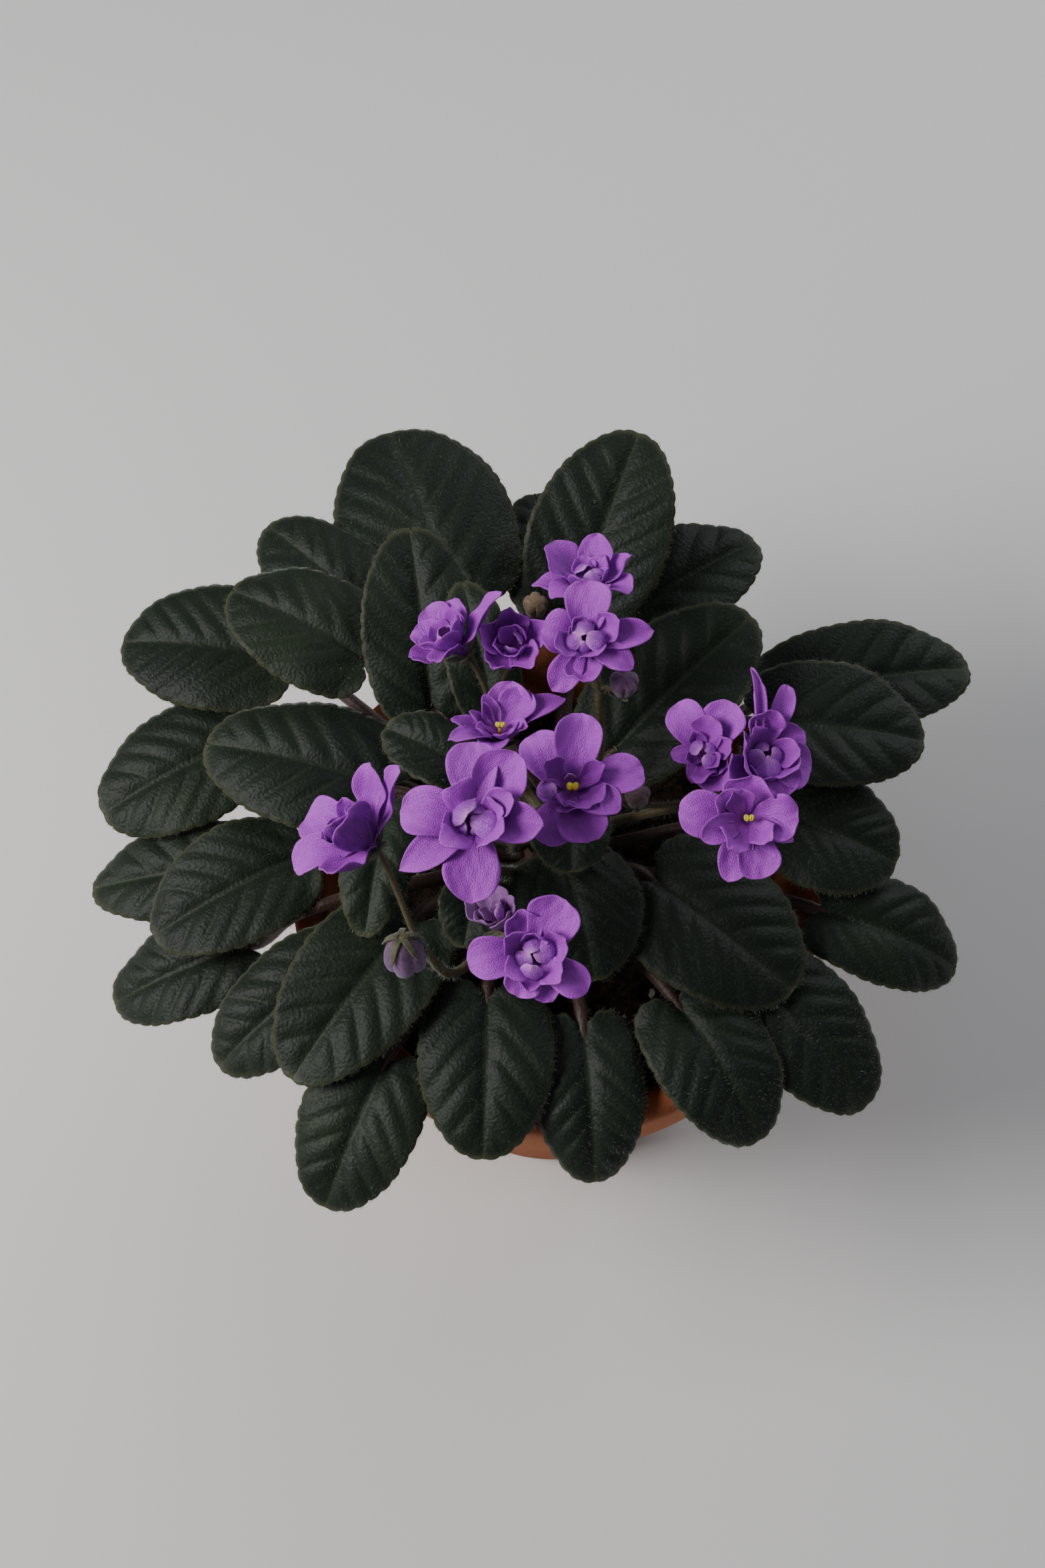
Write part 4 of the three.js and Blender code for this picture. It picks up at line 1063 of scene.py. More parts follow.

# %% [markdown]
# Each bloom is listed: its throat as x, y and height above the rim, the way it faces as a bearing and
# a height in degrees, its outer and inner petals, and the small pale petals at its heart. A petal is its
# direction round the bloom, length, width, fold towards the middle, cup across itself, how pointed it is
# from 0 to 1, and for some how far the rim rolls back. A petal of the heart is direction, length, width,
# fold and how far out it starts.

# %% Bloom table
BLOOMS = {
    "bloom_1": ((8, 59, 46), (100, 62), [
        (150, 16, 14, 44, 48, 0), (184, 15, 9, 10, 35, 0.8), (80, 15, 12, 52, 58, 0.3),
        (16, 14, 11, 46, 58, 0.5), (333, 13, 10, 20, 45, 0.3), (218, 12, 11, 16, 40, 0.2),
        (280, 11, 11, 22, 45, 0.2),
    ], [
        (112, 9, 8, 50, 60, 0.2), (52, 9, 8, 52, 60, 0.3), (250, 9, 8, 56, 30, 0.1, 0.2),
        (5, 8, 7, 55, 65, 0.3),
    ], [
        (130, 8, 7, 126, 4.4), (40, 7, 6, 120, 4), (290, 8, 6.5, 124, 4.6),
    ]),
    "bloom_2": ((6, 39, 55), (270, 80), [
        (85, 15.5, 13, 26, 46, 0), (169, 11.5, 12, 24, 42, 0), (7, 17.5, 9, 12, 38, 0.7),
        (329, 14, 8, 8, 36, 0.4), (239, 15, 9, 6, 34, 0.3), (268, 13, 11, 30, 48, 0),
    ], [
        (22, 12, 10, 38, 58, 0.3), (205, 10, 9, 36, 55, 0), (118, 8, 7, 52, 75, 0.1),
        (150, 7, 6, 55, 60, 0.2), (300, 9, 8, 58, 25, 0.1, 0.2),
    ], [
        (100, 9, 8, 134, 5), (200, 7.5, 6.5, 130, 4.6), (260, 7, 5, 112, 3.6), (340, 8.5, 7, 134, 5),
    ]),
    "bloom_3": ((-11, 42, 48), (240, 70), [
        (160, 13, 11, 60, 55, 0.6), (235, 12, 11, 52, 50, 0.5), (312, 12, 11, 52, 55, 0.4),
        (20, 14, 10, 50, 55, 0.8), (90, 12, 11, 60, 55, 0.5),
    ], [
        (60, 10, 8, 68, 60, 0.5), (200, 10, 8, 68, 60, 0.5), (285, 9, 8, 64, 60, 0.4),
        (130, 9, 7, 70, 60, 0.4),
    ], [
        (40, 6, 5, 95, 2.5), (250, 6, 5, 100, 2.5),
    ]),
    "bloom_4": ((-25, 40, 51), (150, 48), [
        (31, 20, 11, 30, 45, 0.9), (288, 12, 11, 34, 48, 0.6), (181, 13, 10, 42, 50, 0),
        (145, 14.5, 11, 44, 50, 0), (102, 12.5, 11, 42, 50, 0), (225, 13, 10, 38, 45, 0.1),
    ], [
        (75, 10, 9, 56, 55, 0), (165, 9, 8, 56, 55, 0), (250, 11, 9, 54, 55, 0.2),
        (310, 11, 9, 55, 60, 0.3), (15, 10, 8, 58, 60, 0.3),
    ], [
        (60, 7, 6, 100, 3), (170, 7, 6, 105, 3.5), (240, 7, 5, 100, 3), (320, 6, 5, 110, 3),
    ]),
    "bloom_5": ((-15, 15.5, 50), (80, 68), [
        (74, 15, 13, 38, 48, 0.1), (29, 20, 9, 16, 42, 0.9), (174, 13, 7, 32, 60, 0.6),
        (115, 11.5, 7, 46, 65, 0.5), (202, 14.5, 8, 18, 48, 0.8), (250, 11, 9, 25, 48, 0.4),
        (52, 14, 11, 34, 48, 0.2),
    ], [
        (292, 8, 9, 46, 62, 0), (207, 9, 6, 42, 68, 0.4), (135, 10, 5, 52, 75, 0.5),
        (165, 10, 5, 38, 70, 0.5), (340, 9, 8, 42, 60, 0.4),
    ], []),
    "bloom_6": ((2.6, -1.6, 56), (270, 84), [
        (82, 19, 14, 24, 58, 0.2), (131, 17, 12, 16, 38, 0), (15, 18, 11, 15, 30, 0),
        (332, 14, 11, 26, 50, 0.4), (284, 15, 13, 20, 34, 0), (241, 15, 11, 5, 28, 0),
    ], [
        (31, 12, 8, 44, 82, 0.2), (146, 12, 9, 46, 74, 0), (250, 10, 9, 50, 62, 0.1),
        (300, 10, 14, 60, 24, 0, 0.3), (198, 9, 8, 22, 60, 0.1),
    ], [
        (192, 8, 7, 142, 8.6), (262, 6, 5, 100, 5), (110, 6, 4, 90, 3),
    ]),
    "bloom_7": ((-20, -15, 68), (250, 78), [
        (172, 18, 13, 12, 28, 0.1), (213, 21, 10, 6, 34, 0.9), (269, 19, 14, 10, 24, 0.3),
        (354, 17, 12, 22, 52, 0.4), (58, 20, 16, 30, 58, 0), (91, 19, 13, 14, 28, 0),
    ], [
        (118, 12, 10, 46, -38, 0, 0.1), (316, 12.5, 10, 66, 16, 0, 0.3), (230, 13.5, 8.5, 62, 16, 0, 0.3),
        (198, 10, 8, 42, 50, 0.1, 0.1), (18, 10, 9, 54, 50, 0.1, 0.18), (30, 13, 9, 36, 55, 0.1),
    ], [
        (338, 10.5, 9, 146, 6.2), (150, 9.5, 10.5, 116, 4.8), (205, 7.5, 5, 110, 4.2),
        (272, 5.5, 3.2, 105, 3.2), (85, 7, 6, 112, 3.4),
    ]),
    "bloom_8": ((-46, -14, 55), (165, 58), [
        (79, 18.5, 12, 42, 50, 0.2), (42, 23, 10, 42, 55, 0.3), (168, 18, 13, 24, 42, 0),
        (213, 19, 11, 20, 34, 0.2), (272, 17.5, 12, 44, 45, 0.3), (342, 18, 14, 80, 40, 0.2, 0.12),
    ], [
        (112, 12, 9, 58, 58, 0.2), (235, 13, 10, 60, 52, 0.2), (300, 17, 12, 82, 44, 0.3, 0.14),
        (15, 14, 10, 84, 50, 0.2, 0.1), (185, 11, 9, 50, 55, 0.2),
    ], [
        (130, 7, 6, 105, 3.5), (230, 7, 6, 110, 4),
    ]),
    "bloom_9": ((36.5, 13, 44), (215, 66), [
        (117, 15.5, 11, 24, 34, 0), (57, 15.5, 12, 24, 38, 0), (175, 9.5, 6, 22, 50, 0.5),
        (292, 10.5, 10, 24, 45, 0.3), (243, 8, 7, 20, 60, 0.7), (334, 8, 9, 40, 50, 0.1),
    ], [
        (72, 12, 10, 40, 50, 0), (15, 12, 8, 46, 66, 0.2), (112, 9, 6, 50, 66, 0.3),
        (200, 7, 5, 52, 66, 0.3), (272, 10, 7, 50, 30, 0.3, 0.2), (320, 8, 7, 50, 66, 0.2),
    ], [
        (140, 7.5, 5.5, 124, 3.8), (310, 7.5, 5, 128, 4.2), (45, 6.5, 4.5, 120, 3.2),
    ]),
    "bloom_10": ((47.5, 9, 52), (325, 70), [
        (98, 23, 5, 26, 95, 0.4), (68, 19.5, 7.5, 20, 70, 0.3), (26, 13.5, 11, 24, 38, 0.6),
        (344, 13.5, 13, 16, 36, 0.2), (300, 12.5, 13, 24, 50, 0), (212, 15.5, 11, 38, 62, 0.2),
    ], [
        (85, 13, 11, 38, 46, 0), (125, 10, 9, 60, 28, 0.1, 0.2), (190, 12, 13, 56, 22, 0, 0.14),
        (255, 10, 9, 44, 60, 0.1), (5, 11, 9, 42, 56, 0.1), (330, 11, 10, 40, 52, 0),
    ], [
        (283, 10, 9, 142, 7), (205, 8, 6.5, 126, 4.6), (350, 7.5, 6, 122, 4.2), (95, 7, 5, 118, 3.2),
    ]),
    "bloom_11": ((43.5, -10.5, 60), (275, 72), [
        (176, 17, 12, 16, 30, 0), (85, 11.5, 14, 40, 42, 0.1), (357, 12.5, 13, 26, 52, 0),
        (253, 15.5, 9, 6, 28, 0.4), (282, 14.5, 11, 6, 28, 0.1), (333, 12.5, 7, 16, 70, 1),
    ], [
        (150, 11, 10, 38, 50, 0.1, 0.14), (204, 14, 8, 24, 50, 0.4), (235, 12, 10, 50, 30, 0.4, 0.22),
        (120, 10, 9, 46, 56, 0.1), (310, 10, 8, 52, 30, 0.3, 0.18),
    ], []),
    "bloom_12": ((-6.5, -43, 56), (265, 70), [
        (60, 16, 14, 26, 40, 0), (184, 16, 11, 14, 36, 0.1), (110, 12, 11, 32, 50, 0.1),
        (327, 15, 9, 12, 36, 0.1), (290, 11.5, 9, 10, 34, 0.5), (247, 10.5, 10, 16, 42, 0.1),
    ], [
        (28, 12, 10, 46, 56, 0.2), (148, 11, 9, 46, 56, 0.2), (215, 10, 8, 50, 30, 0.2, 0.2),
        (318, 11, 8, 50, 30, 0.3, 0.2), (90, 9, 8, 56, 60, 0.1), (262, 10, 7, 32, 62, 0.2),
    ], [
        (20, 8.5, 7.5, 142, 5), (200, 7.5, 6.5, 134, 4.4), (262, 9, 7, 116, 5.6), (105, 7, 6, 124, 3.6),
    ]),
    "bloom_13": ((-15, -31, 46), (130, 62), [
        (110, 9, 9, 46, 50, 0), (170, 10, 9, 50, 50, 0), (40, 8, 8, 55, 55, 0.2), (320, 8, 8, 60, 55, 0.2),
        (240, 8, 8, 60, 55, 0.2),
    ], [
        (80, 6, 5, 66, 60, 0.4), (200, 6, 5, 66, 60, 0.4),
    ], [
        (350, 6, 5, 90, 2.5), (60, 5, 4, 95, 2.5),
    ]),
}
print("blooms:", len(BLOOMS))

# %% [markdown]
# A petal is a sheet like a blade, but narrow at its root and round at its end, some more pointed than
# others. Its middle line is drawn first, as seen from its side: up out of the throat, bent outward, and
# arched to its tip. Each bloom has its own frame for this: z is the way it faces, and y is up as seen from
# the front and above.

# %% Petal line
ROUND_PETAL = [(0, 0), (0, 0.10), (0.18, 0.20), (0.42, 0.36), (0.66, 0.48), (0.84, 0.46),
               (0.965, 0.28), (1, 0)]
POINTED_PETAL = [(0, 0), (0, 0.10), (0.18, 0.24), (0.38, 0.40), (0.60, 0.47), (0.80, 0.33),
                 (0.93, 0.13), (1, 0)]
PETAL_REACH, PETAL_PART, _ = even_reach(ROUND_PETAL, 300)
BLOOM_UP = np.array([0.0, 1.0, 0.4])
THROAT_DEPTH = 2.6
THROAT_RADIUS = 2


def bloom_frame(at, face):
    """A bloom's middle, and its directions to the right, upward and the way it faces."""
    azimuth, height = face
    facing = bearing(azimuth) * math.cos(math.radians(height)) + [0, 0, math.sin(math.radians(height))]
    right = unit(np.cross(BLOOM_UP, facing))
    return above_rim(at), np.stack([right, np.cross(facing, right), facing])


def petal_line(length, fold, rise, start, rng):
    """How far out and how high the petal's middle line is at even steps. An open petal arches down at its
    tip, a folded one arches in, and one folded past upright curls over."""
    angle = math.radians(fold)
    arch = math.radians(rng.uniform(2, 14) * (1 if fold < 30 else -1.3) - 0.55 * max(fold - 80, 0))
    root = np.array([start, rise])
    free = length - THROAT_RADIUS
    bend = root + 0.55 * free * np.array([math.cos(angle + arch), math.sin(angle + arch)])
    tip = root + free * np.array([math.cos(angle), math.sin(angle)])
    side_view = [(0.3, rise - THROAT_DEPTH), (1.4, rise - 0.8), root, bend, tip]
    line, _ = smooth_path([(r, 0, z) for r, z in side_view], 60)
    return line[:, 0], line[:, 2]


print("a petal's line ends at", [round(c[-1], 1) for c in petal_line(15, 30, 0, 2, np.random.default_rng(0))])

# %% [markdown]
# No two petals are alike. Cup, twist, curl, ruffle and a slight lopsidedness are added to the sheet by
# formula, and drawn at random within limits, so that the bloom looks grown. The roll of the rim can also
# be given.

# %% Petal shape
def petal_shape(place, spec, rise, rng, ruffled=1.0, hood=0.0, start=THROAT_RADIUS):
    """One petal of a bloom, which rises at a distance from the middle called start. Angles are in degrees."""
    origin, axes = place
    direction, length, width, fold, cup, point, *rolled = spec
    cup = math.radians(cup)
    out, lateral = bearing(direction), bearing(direction - 90)
    outline = (1 - point) * np.array(ROUND_PETAL) + point * np.array(POINTED_PETAL)
    line_r, line_z = petal_line(length, fold, rise, start, rng)
    stations = np.linspace(0, 1, len(line_r))
    twist = rng.uniform(-0.16, 0.16)
    phase = rng.uniform(0, 6.3, 4)
    waves = rng.uniform(1.4, 2.6)
    curl = rng.uniform(0.03, 0.10) * length
    if rolled:
        curl = rolled[0] * length
    notch = rng.uniform(0, 0.08) * (1 - point)
    lopsided = rng.uniform(-0.12, 0.12)
    wavy = rng.uniform(0.010, 0.035)

    def on_line(x):
        return np.interp(x, stations, line_r), np.interp(x, stations, line_z)

    def ripples(side, hand, t):
        broad = 0.055 * width * np.sin(waves * 2 * np.pi * t + phase[0] + 1.3 * hand)
        fine = 0.016 * width * np.sin(21 * t + phase[1] + hand)
        return side**2.2 * np.clip(8 * (1 - t), 0, 1) * (broad + fine)

    def shape(u, t):
        side, hand = np.abs(u), np.sign(u)
        part = np.interp(t, PETAL_REACH, PETAL_PART)
        edge = through(outline, part)
        x = part * (1 - side) + edge[:, 0] * side
        x = x * (1 - notch * np.exp(-(u / 0.16) ** 2) * x**6)
        half = edge[:, 1] * width * (1 + lopsided * u * x + wavy * np.sin(15 * part + phase[2] + 2 * hand))
        r, z = on_line(x)
        ahead, behind = on_line(np.minimum(x + 0.03, 1)), on_line(np.maximum(x - 0.03, 0))
        slope_r, slope_z = ahead[0] - behind[0], ahead[1] - behind[1]
        slope = np.hypot(slope_r, slope_z) + 1e-9
        open_up = np.clip((x - 0.10) / 0.3, 0, 1)
        wrap = cup * (1.25 - 0.45 * x) + 1e-3
        y = half * np.sin(wrap * u) / wrap
        cupped = half * (1 - np.cos(wrap * u)) / wrap + twist * y
        pucker = 0.10 * np.sin(2.1 * u * half + phase[2]) * np.sin(0.9 * x * length + phase[3])
        roll = curl * np.clip((np.maximum(x, side * 0.85) - 0.7) / 0.3, 0, 1) ** 2
        uneven = ruffled * ripples(side, hand, t) + min(ruffled, 1) * pucker
        lift = (cupped + uneven - roll) * open_up + hood * length * x**3
        local = ((r - lift * slope_z / slope)[:, None] * out + y[:, None] * lateral
                 + (z + lift * slope_r / slope)[:, None] * UP)
        rim = np.exp(-(np.minimum((1 - side) * half, (1 - x) * length) / 0.5) ** 2) * open_up
        places = np.stack([x * length, half * u, np.zeros_like(x)], 1)
        return origin + local @ axes, places, np.stack([x, u, rim], 1)

    return shape


sample = petal_shape(bloom_frame((0, 0, 0), (0, 90)), (0, 15, 12, 20, 30, 0), 0, np.random.default_rng(0))
print("a petal's tip, in mm:", sample(np.zeros(1), np.ones(1))[0][0].round(1))

# %% [markdown]
# A bloom is put together from a short throat and three rings of petals. The innermost are the small pale
# petals that make the flower double: they grow where a single flower has its stamens. Each petal is set a
# little higher or lower than the next, so that they overlap like tiles.

# %% Blooms
DUSKY_BLOOMS = ["bloom_13"]
PETAL_RINGS = [  # grid across and along, height over the throat, ruffled, hood, thickness and material
    (24, 28, 0.0, 1.0, 0.00, 0.32, 0),
    (20, 22, 1.2, 0.8, 0.12, 0.28, 0),
    (16, 18, 1.8, 0.5, 0.10, 0.26, 1),
]
HEART_CUP = 68
HEART_POINT = 0.05


def throat_shape(place):
    origin, axes = place
    path = np.array([[0, 0, z] for z in np.linspace(-THROAT_DEPTH, 0.4, 12)]) @ axes + origin
    return stalk_shape(path, [(0, 0.9), (0.3, 1.4), (0.7, 1.8), (1, THROAT_RADIUS)])


def make_bloom(name, seed):
    at, face, outer, inner, heart = BLOOMS[name]
    rng = np.random.default_rng(seed)
    place = bloom_frame(at, face)
    parts = [stalk(24, 10, throat_shape(place), 0)]
    heart = [(*one[:4], HEART_CUP, HEART_POINT, one[4]) for one in heart]
    for ring, kind in zip((outer, inner, heart), PETAL_RINGS):
        across, along, rise, ruffled, hood, thickness, slot = kind
        for i, one in enumerate(sorted(ring)):
            start = THROAT_RADIUS
            if ring is heart:
                *one, start = one
            shape = petal_shape(place, one, rise + 0.5 * (i % 2), rng, ruffled, hood, start)
            parts.append(sheet(across, along, shape, thickness, slot))
    return finish_piece(name, parts, [dusky_petal if name in DUSKY_BLOOMS else petal, ruffle])


print("bloom faces:", sum(make_bloom(name, 300 + seed) for seed, name in enumerate(BLOOMS)))

# %% [markdown]
# Three blooms show their anthers: a pair of plump yellow pollen sacs, joined at the middle, on one short
# filament. Two squashed spheres with a crease do, because at 2 mm across nothing finer would show.

# %% Anthers
ANTHERS = {5: 0.72, 6: 0.86, 11: 0.72}  # half the width of the pair, by bloom
POLLEN = (0.95, 0.90, 0.22)

anther_yellow, tree, shader = new_material("anther_yellow", Roughness=0.6)
place = object_place(tree)
relief, specks = grain(tree, place, 5000.0)
color = ramp(tree, mottle(tree, place, 900.0, 2.5), (0.0, (0.66, 0.52, 0.02)), (1.0, (0.88, 0.80, 0.06)))
coat(tree, shader, tint(tree, color, specks, 0.5, POLLEN), relief, 0.0002)

for number, size in ANTHERS.items():
    origin, axes = bloom_frame(*BLOOMS[f"bloom_{number}"][:2])
    bm = bmesh.new()
    for hand in (-1, 1):
        lobe = Matrix.Translation((0.80 * hand * size, 0, 4.4)) @ Matrix.Rotation(-0.25 * hand, 4, "Z")
        lobe = lobe @ Matrix.Diagonal((0.95 * size, 1.2 * size, size, 1))
        made = bmesh.ops.create_uvsphere(bm, u_segments=24, v_segments=16, radius=1, matrix=lobe)["verts"]
        for vert in made:
            crease = math.exp(-((vert.co.x - 0.85 * hand * size) / 0.22) ** 2) * max(0, vert.co.z - 4.2)
            vert.co.z -= 0.25 * crease
    bmesh.ops.create_cone(bm, cap_ends=True, segments=16, radius1=0.45, radius2=0.35, depth=3.2,
                          matrix=Matrix.Translation((0, 0, 2.7)))
    turn = Matrix(axes.T.tolist()).to_4x4()
    bmesh.ops.transform(bm, matrix=Matrix.Translation(origin.tolist()) @ turn, verts=bm.verts[:])
    anther_mesh = as_mesh(bm)
    new_layers(anther_mesh)
    print("anther faces:", finish_piece(f"anthers_{number}", [anther_mesh], [anther_yellow]))

# %% [markdown]
# Each flower stalk leaves the crown, passes one point and forks at the next. From the fork a thin stalk
# runs to the back of each bloom, where five narrow hairy sepals make a star, and to each bud. A bud has
# its place, whether it hangs, its length and how spent it is.

# %% Flower stalk table
FLOWER_STALKS = {
    "stalk_left": ((3, 250), [(-26, -33, 15), (-34, -33, 34)], ["bloom_8"],
                   [((-37, -40, 50), True, 11, 0.0)]),
    "stalk_front": ((4, 240), [(-18, -14, 32), (-14, -30, 38)], ["bloom_12", "bloom_13"], []),
    "stalk_middle": ((5, 210), [(-10, -1, 30), (-11, -2, 38)], ["bloom_5", "bloom_6", "bloom_7"], []),
    "stalk_back": ((5, 60), [(10, 20, 28), (10, 34, 38)], ["bloom_1", "bloom_2"],
                   [((16, 32, 46), False, 8, 0.25), ((-6, 54, 46), False, 7, 1.0)]),
    "stalk_back_left": ((5, 120), [(-14, 21, 25), (-17, 31, 33)], ["bloom_3", "bloom_4"], []),
    "stalk_right": ((4, 15), [(24, 6, 26), (38, 4, 38)], ["bloom_9", "bloom_10", "bloom_11"],
                    [((19, 4, 40), False, 7, 0.7)]),
}
print("flower stalks:", len(FLOWER_STALKS))

# %% [markdown]
# A bud's closed petals are dark at the base and purple towards the tip, with a paler stripe on each. A
# spent bud is ochre brown, and each bud lies somewhere between the two. The sepals are olive, redder at
# their tips.

# %% Bud and calyx skins
BUD_PALE = (0.20, 0.075, 0.22)
BUD_STRIPE = (0.28, 0.16, 0.28)
CALYX_DARK = (0.038, 0.048, 0.018)

bud_skin, tree, shader = new_material("bud_skin", Roughness=0.5, Sheen_Weight=0.3)
skin = surface_layer(tree)
along, around, faded = mark_layers(tree)
stripe = math_node(tree, "PINGPONG", math_node(tree, "MULTIPLY", around, 5.0), 0.5)
stripe = math_node(tree, "MULTIPLY_ADD", stripe, -3.5, 1.0, clamp=True)
fresh = ramp(tree, along, (0.0, (0.07, 0.04, 0.04)), (0.3, (0.060, 0.012, 0.078)),
             (1.0, (0.125, 0.016, 0.175)))
fresh = tint(tree, fresh, mottle(tree, skin, 0.8, 3.0), 0.35, BUD_PALE)
fresh = tint(tree, fresh, stripe, 0.25, BUD_STRIPE)
spent = ramp(tree, mottle(tree, skin, 0.8, 3.0), (0.0, (0.075, 0.042, 0.016)), (1.0, (0.17, 0.105, 0.045)))
coat(tree, shader, mix(tree, faded, fresh, spent), grain(tree, skin, 4.0)[0], 0.0002, 0.8)

calyx_skin, tree, shader = new_material("calyx_skin", Roughness=0.55, Sheen_Weight=0.3)
skin = surface_layer(tree)
color = ramp(tree, mark_layers(tree)[0], (0.0, (0.06, 0.062, 0.02)), (0.7, (0.08, 0.066, 0.028)),
             (1.0, (0.11, 0.055, 0.036)))
color = tint(tree, color, mottle(tree, skin, 0.7, 3.0), 0.5, CALYX_DARK)
coat(tree, shader, color, grain(tree, skin, 4.0)[0], 0.0002, 0.8)
print("bud and calyx skins:", [len(made.node_tree.nodes) for made in (bud_skin, calyx_skin)], "nodes")

# %% [markdown]
# Behind each bloom five pointed sepals leave the end of the stalk flat and rise at their tips. They are
# narrow sheets like the petals, each turned and sized a little differently.

# %% Calyx
SEPALS = 5
SEPAL_LENGTH = 5.2
SEPAL_WIDTH = 2.3
SEPAL_THICKNESS = 0.35
CALYX_RISE = 26


def sepal_shape(place, direction, length, rise, hug):
    """One pointed sepal: it leaves the middle flat, and its tip rises by hug degrees."""
    origin, axes = place
    out, lateral = bearing(direction), bearing(direction - 90)

    def shape(u, t):
        half = SEPAL_WIDTH / 2 * np.clip(np.sin(np.pi * np.clip(0.12 + 0.88 * t, 0, 1)) ** 0.8, 0.001, 1)
        turn = math.radians(hug) * t
        r = 0.5 + length * t * np.cos(turn)
        z = rise + length * t * np.sin(turn) + 0.35 * (u**2) * np.sin(np.pi * t)
        local = r[:, None] * out + (half * u)[:, None] * lateral + z[:, None] * UP
        places = np.stack([length * t, half * u, np.zeros_like(t)], 1)
        return origin + local @ axes, places, np.stack([t, u, np.abs(u)], 1)

    return shape


def calyx(place, rng):
    """The sepals of one bloom, with the hairs on them."""
    made = []
    for i in range(SEPALS):
        direction = 360 / SEPALS * i + rng.uniform(-9, 9)
        length = SEPAL_LENGTH * rng.uniform(0.9, 1.05)
        shape = sepal_shape(place, direction, length, 0.1 * (i % 2) - 0.5, CALYX_RISE + rng.uniform(-6, 6))
        made.append(sheet(6, 10, shape, SEPAL_THICKNESS, 1))
        made.append(hairs(shape, rng, 40, 0.9, 0.035, 3, lean=0.6))
    return made


print("sepals:", SEPALS, "of", SEPAL_LENGTH, "mm")

# %% [markdown]
# A bud is five petals folded together, so it is a plump turned form with a groove where each two meet. Its
# own sepals hug it from the base and lift off a little at their tips.

# %% Bud shapes
BUD_FORM = [(0, 0.10), (0.05, 0.45), (0.18, 0.74), (0.42, 0.96), (0.68, 1.05), (0.85, 0.98), (0.95, 0.70),
            (1.0, 0.10)]
BUD_SEPAL_WIDTH = 1.6


def bud_radius(t, length):
    return 0.45 * length * np.interp(t, *np.transpose(BUD_FORM))


def on_bud(place, radius, turn, height):
    """Points at a radius, a turn round the bud and a height over its foot."""
    origin, axes = place
    return origin + np.stack([radius * np.cos(turn), radius * np.sin(turn), height], 1) @ axes


def bud_shape(place, length, faded):
    def shape(u, t):
        turn = np.pi * u
        grooved = 1 - 0.24 * np.clip(1.4 * t, 0, 1) * (1 - np.abs(np.cos(2.5 * turn)) ** 0.6)
        radius = bud_radius(t, length) * grooved
        places = np.stack([t * length, radius * turn, np.zeros_like(t)], 1)
        return on_bud(place, radius, turn, length * t), places, np.stack([t, u, np.full_like(t, faded)], 1)

    return shape


def hugging_sepal(place, direction, reach, length):
    def shape(u, t):
        radius = bud_radius(reach * t / length, length) + 0.25 + 0.35 * t**3
        half = BUD_SEPAL_WIDTH / 2 * np.clip(1 - t**2.2, 0.03, 1)
        turn = math.radians(direction) + half * u / radius
        places = np.stack([reach * t, half * u, np.zeros_like(t)], 1)
        return on_bud(place, radius, turn, reach * t - 0.2), places, np.stack([t, u, np.abs(u)], 1)

    return shape


print("a bud of 10 mm is", round(2 * bud_radius(0.68, 10), 1), "mm thick")

# %% [markdown]
# The buds stand up or hang. One hangs from a stalk that hooks over, as the photo shows at the left. Each
# bud gets its body, its hairs and its sepals in one place.

# %% Buds
HANGING = unit([0.1, -0.3, -1])
HOOK = unit([0.75, 0.05, 0.65])


def facing_frame(end, facing):
    """A frame at a point, whose third direction is the given one."""
    right = unit(np.cross(facing, [0.3, 0.9, 0.2]))
    return np.asarray(end, float), np.stack([right, np.cross(facing, right), facing])


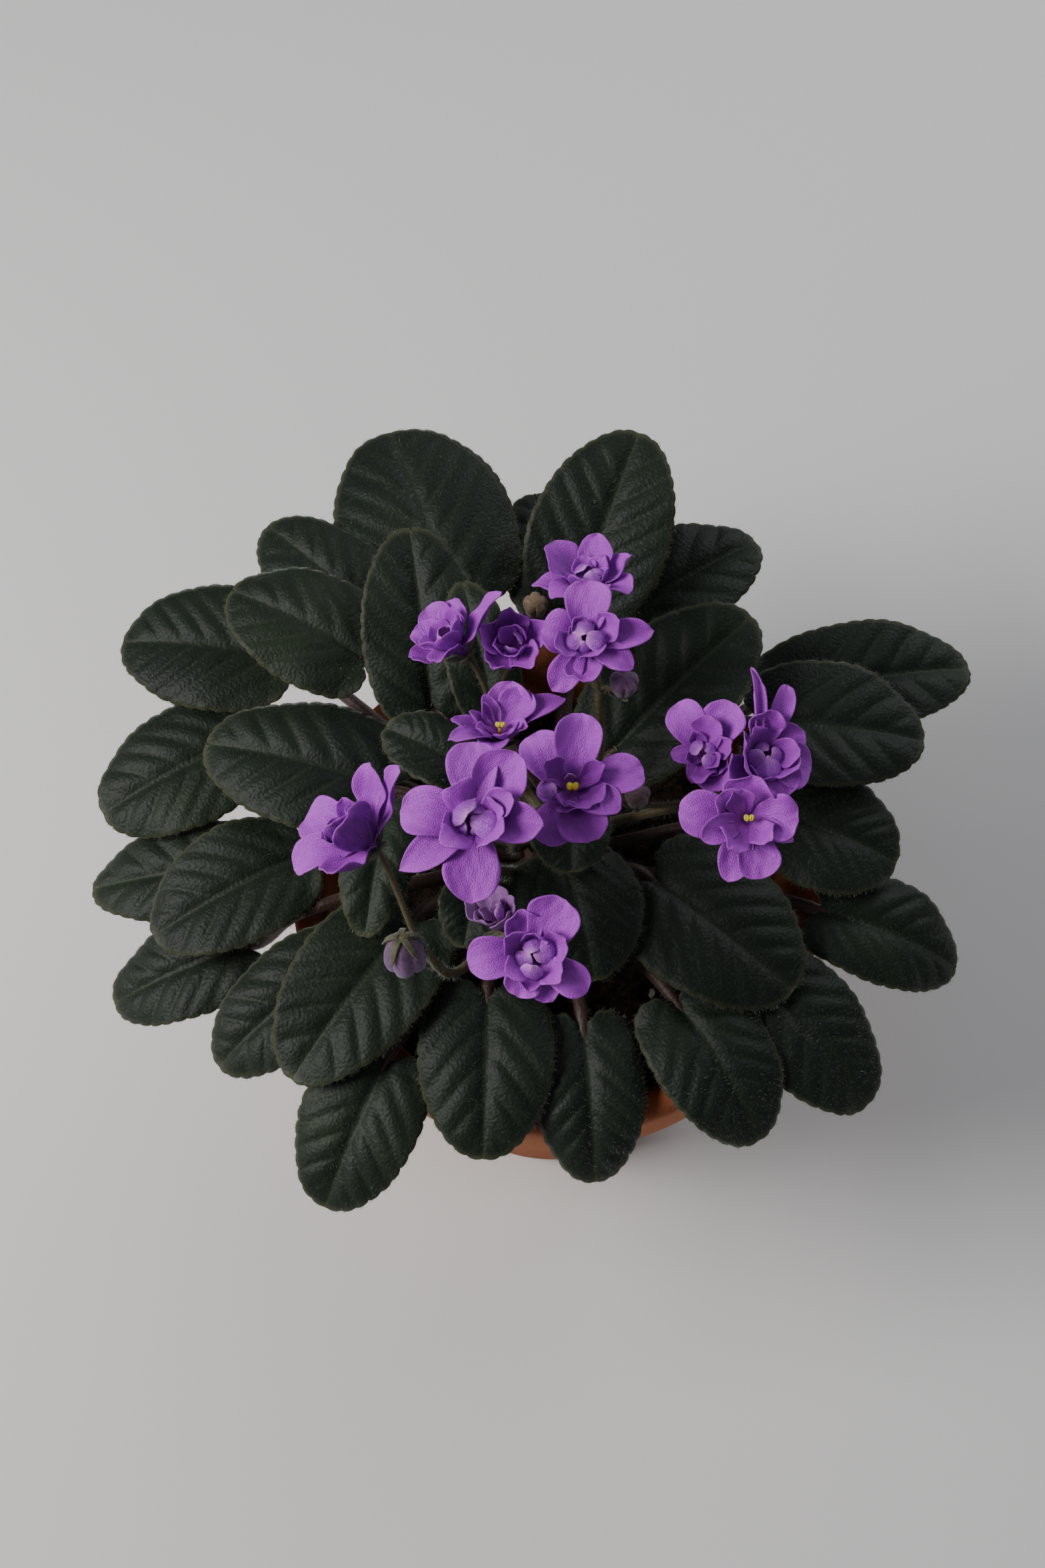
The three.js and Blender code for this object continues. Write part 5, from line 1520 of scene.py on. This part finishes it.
def bud(foot, facing, length, faded, rng):
    """The parts of one bud, whose foot is at a point and which faces a way."""
    place = facing_frame(foot, facing)
    body = bud_shape(place, length, faded)
    made = [stalk(60, 26, body, 2), hairs(body, rng, 300, 1.1, 0.028, 3, lean=0.5)]
    for i in range(SEPALS):
        direction = 360 / SEPALS * i + rng.uniform(20, 50)
        sepal = hugging_sepal(place, direction, length * rng.uniform(0.36, 0.48), length)
        made.append(sheet(6, 12, sepal, SEPAL_THICKNESS, 1))
        made.append(hairs(sepal, rng, 50, 1.1, 0.035, 3, lean=0.6))
    return made


print("the hanging bud hangs", round(math.degrees(math.acos(-HANGING[2]))), "degrees off plumb")

# %% [markdown]
# Last, the flower stalks join it all. The stem follows its table. Each branch is a Bezier curve that
# leaves the fork the way the stem was going and meets the back of its bloom straight on.

# %% Flower stalks
def bezier(points, steps=40):
    a, b, c, d = np.array(points, float)
    s = np.linspace(0, 1, steps + 1)[:, None]
    return (1 - s) ** 3 * a + 3 * (1 - s) ** 2 * s * b + 3 * (1 - s) * s**2 * c + s**3 * d


def make_flower_stalk(name, seed):
    start_at, way, blooms, buds = FLOWER_STALKS[name]
    rng = np.random.default_rng(seed)
    start, out = leave_crown(*start_at, 1.2)
    points = [start, out] + [above_rim(point) for point in way]
    stem = stalk_shape(smooth_path(points, 60)[0], [(0, 1.5), (0.2, 1.25), (1, 1.2)])
    parts = [stalk(14, 50, stem, 0), hairs(stem, rng, 700, 1.3, 0.04, 3, lean=0.5)]
    fork = points[-1]
    heading = unit(fork - points[-2])

    def branch(end, facing):
        path = bezier([fork - heading, fork + 4 * heading, end - 6 * facing, end])
        shape = stalk_shape(path, [(0, 1.0), (0.15, 0.8), (0.85, 0.75), (1, 1.15)])
        return [stalk(12, 36, shape, 0), hairs(shape, rng, 420, 1.2, 0.035, 3, lean=0.5)]

    for bloom in blooms:
        origin, axes = bloom_frame(*BLOOMS[bloom][:2])
        end = origin - (THROAT_DEPTH + 0.3) * axes[2]
        parts += branch(end, axes[2])
        parts += calyx((end, axes), rng)
    for at, hanging, length, faded in buds:
        facing = HANGING if hanging else UP
        foot = above_rim(at) - facing * length / 2
        parts += branch(foot + 0.6 * facing, -HOOK if hanging else facing)
        parts += bud(foot, facing, length, faded, rng)
    return finish_piece(name, parts, [flower_stalk_skin, calyx_skin, bud_skin, hair])


made = [make_flower_stalk(name, 400 + seed) for seed, name in enumerate(FLOWER_STALKS)]
print("flower stalk faces:", sum(made))
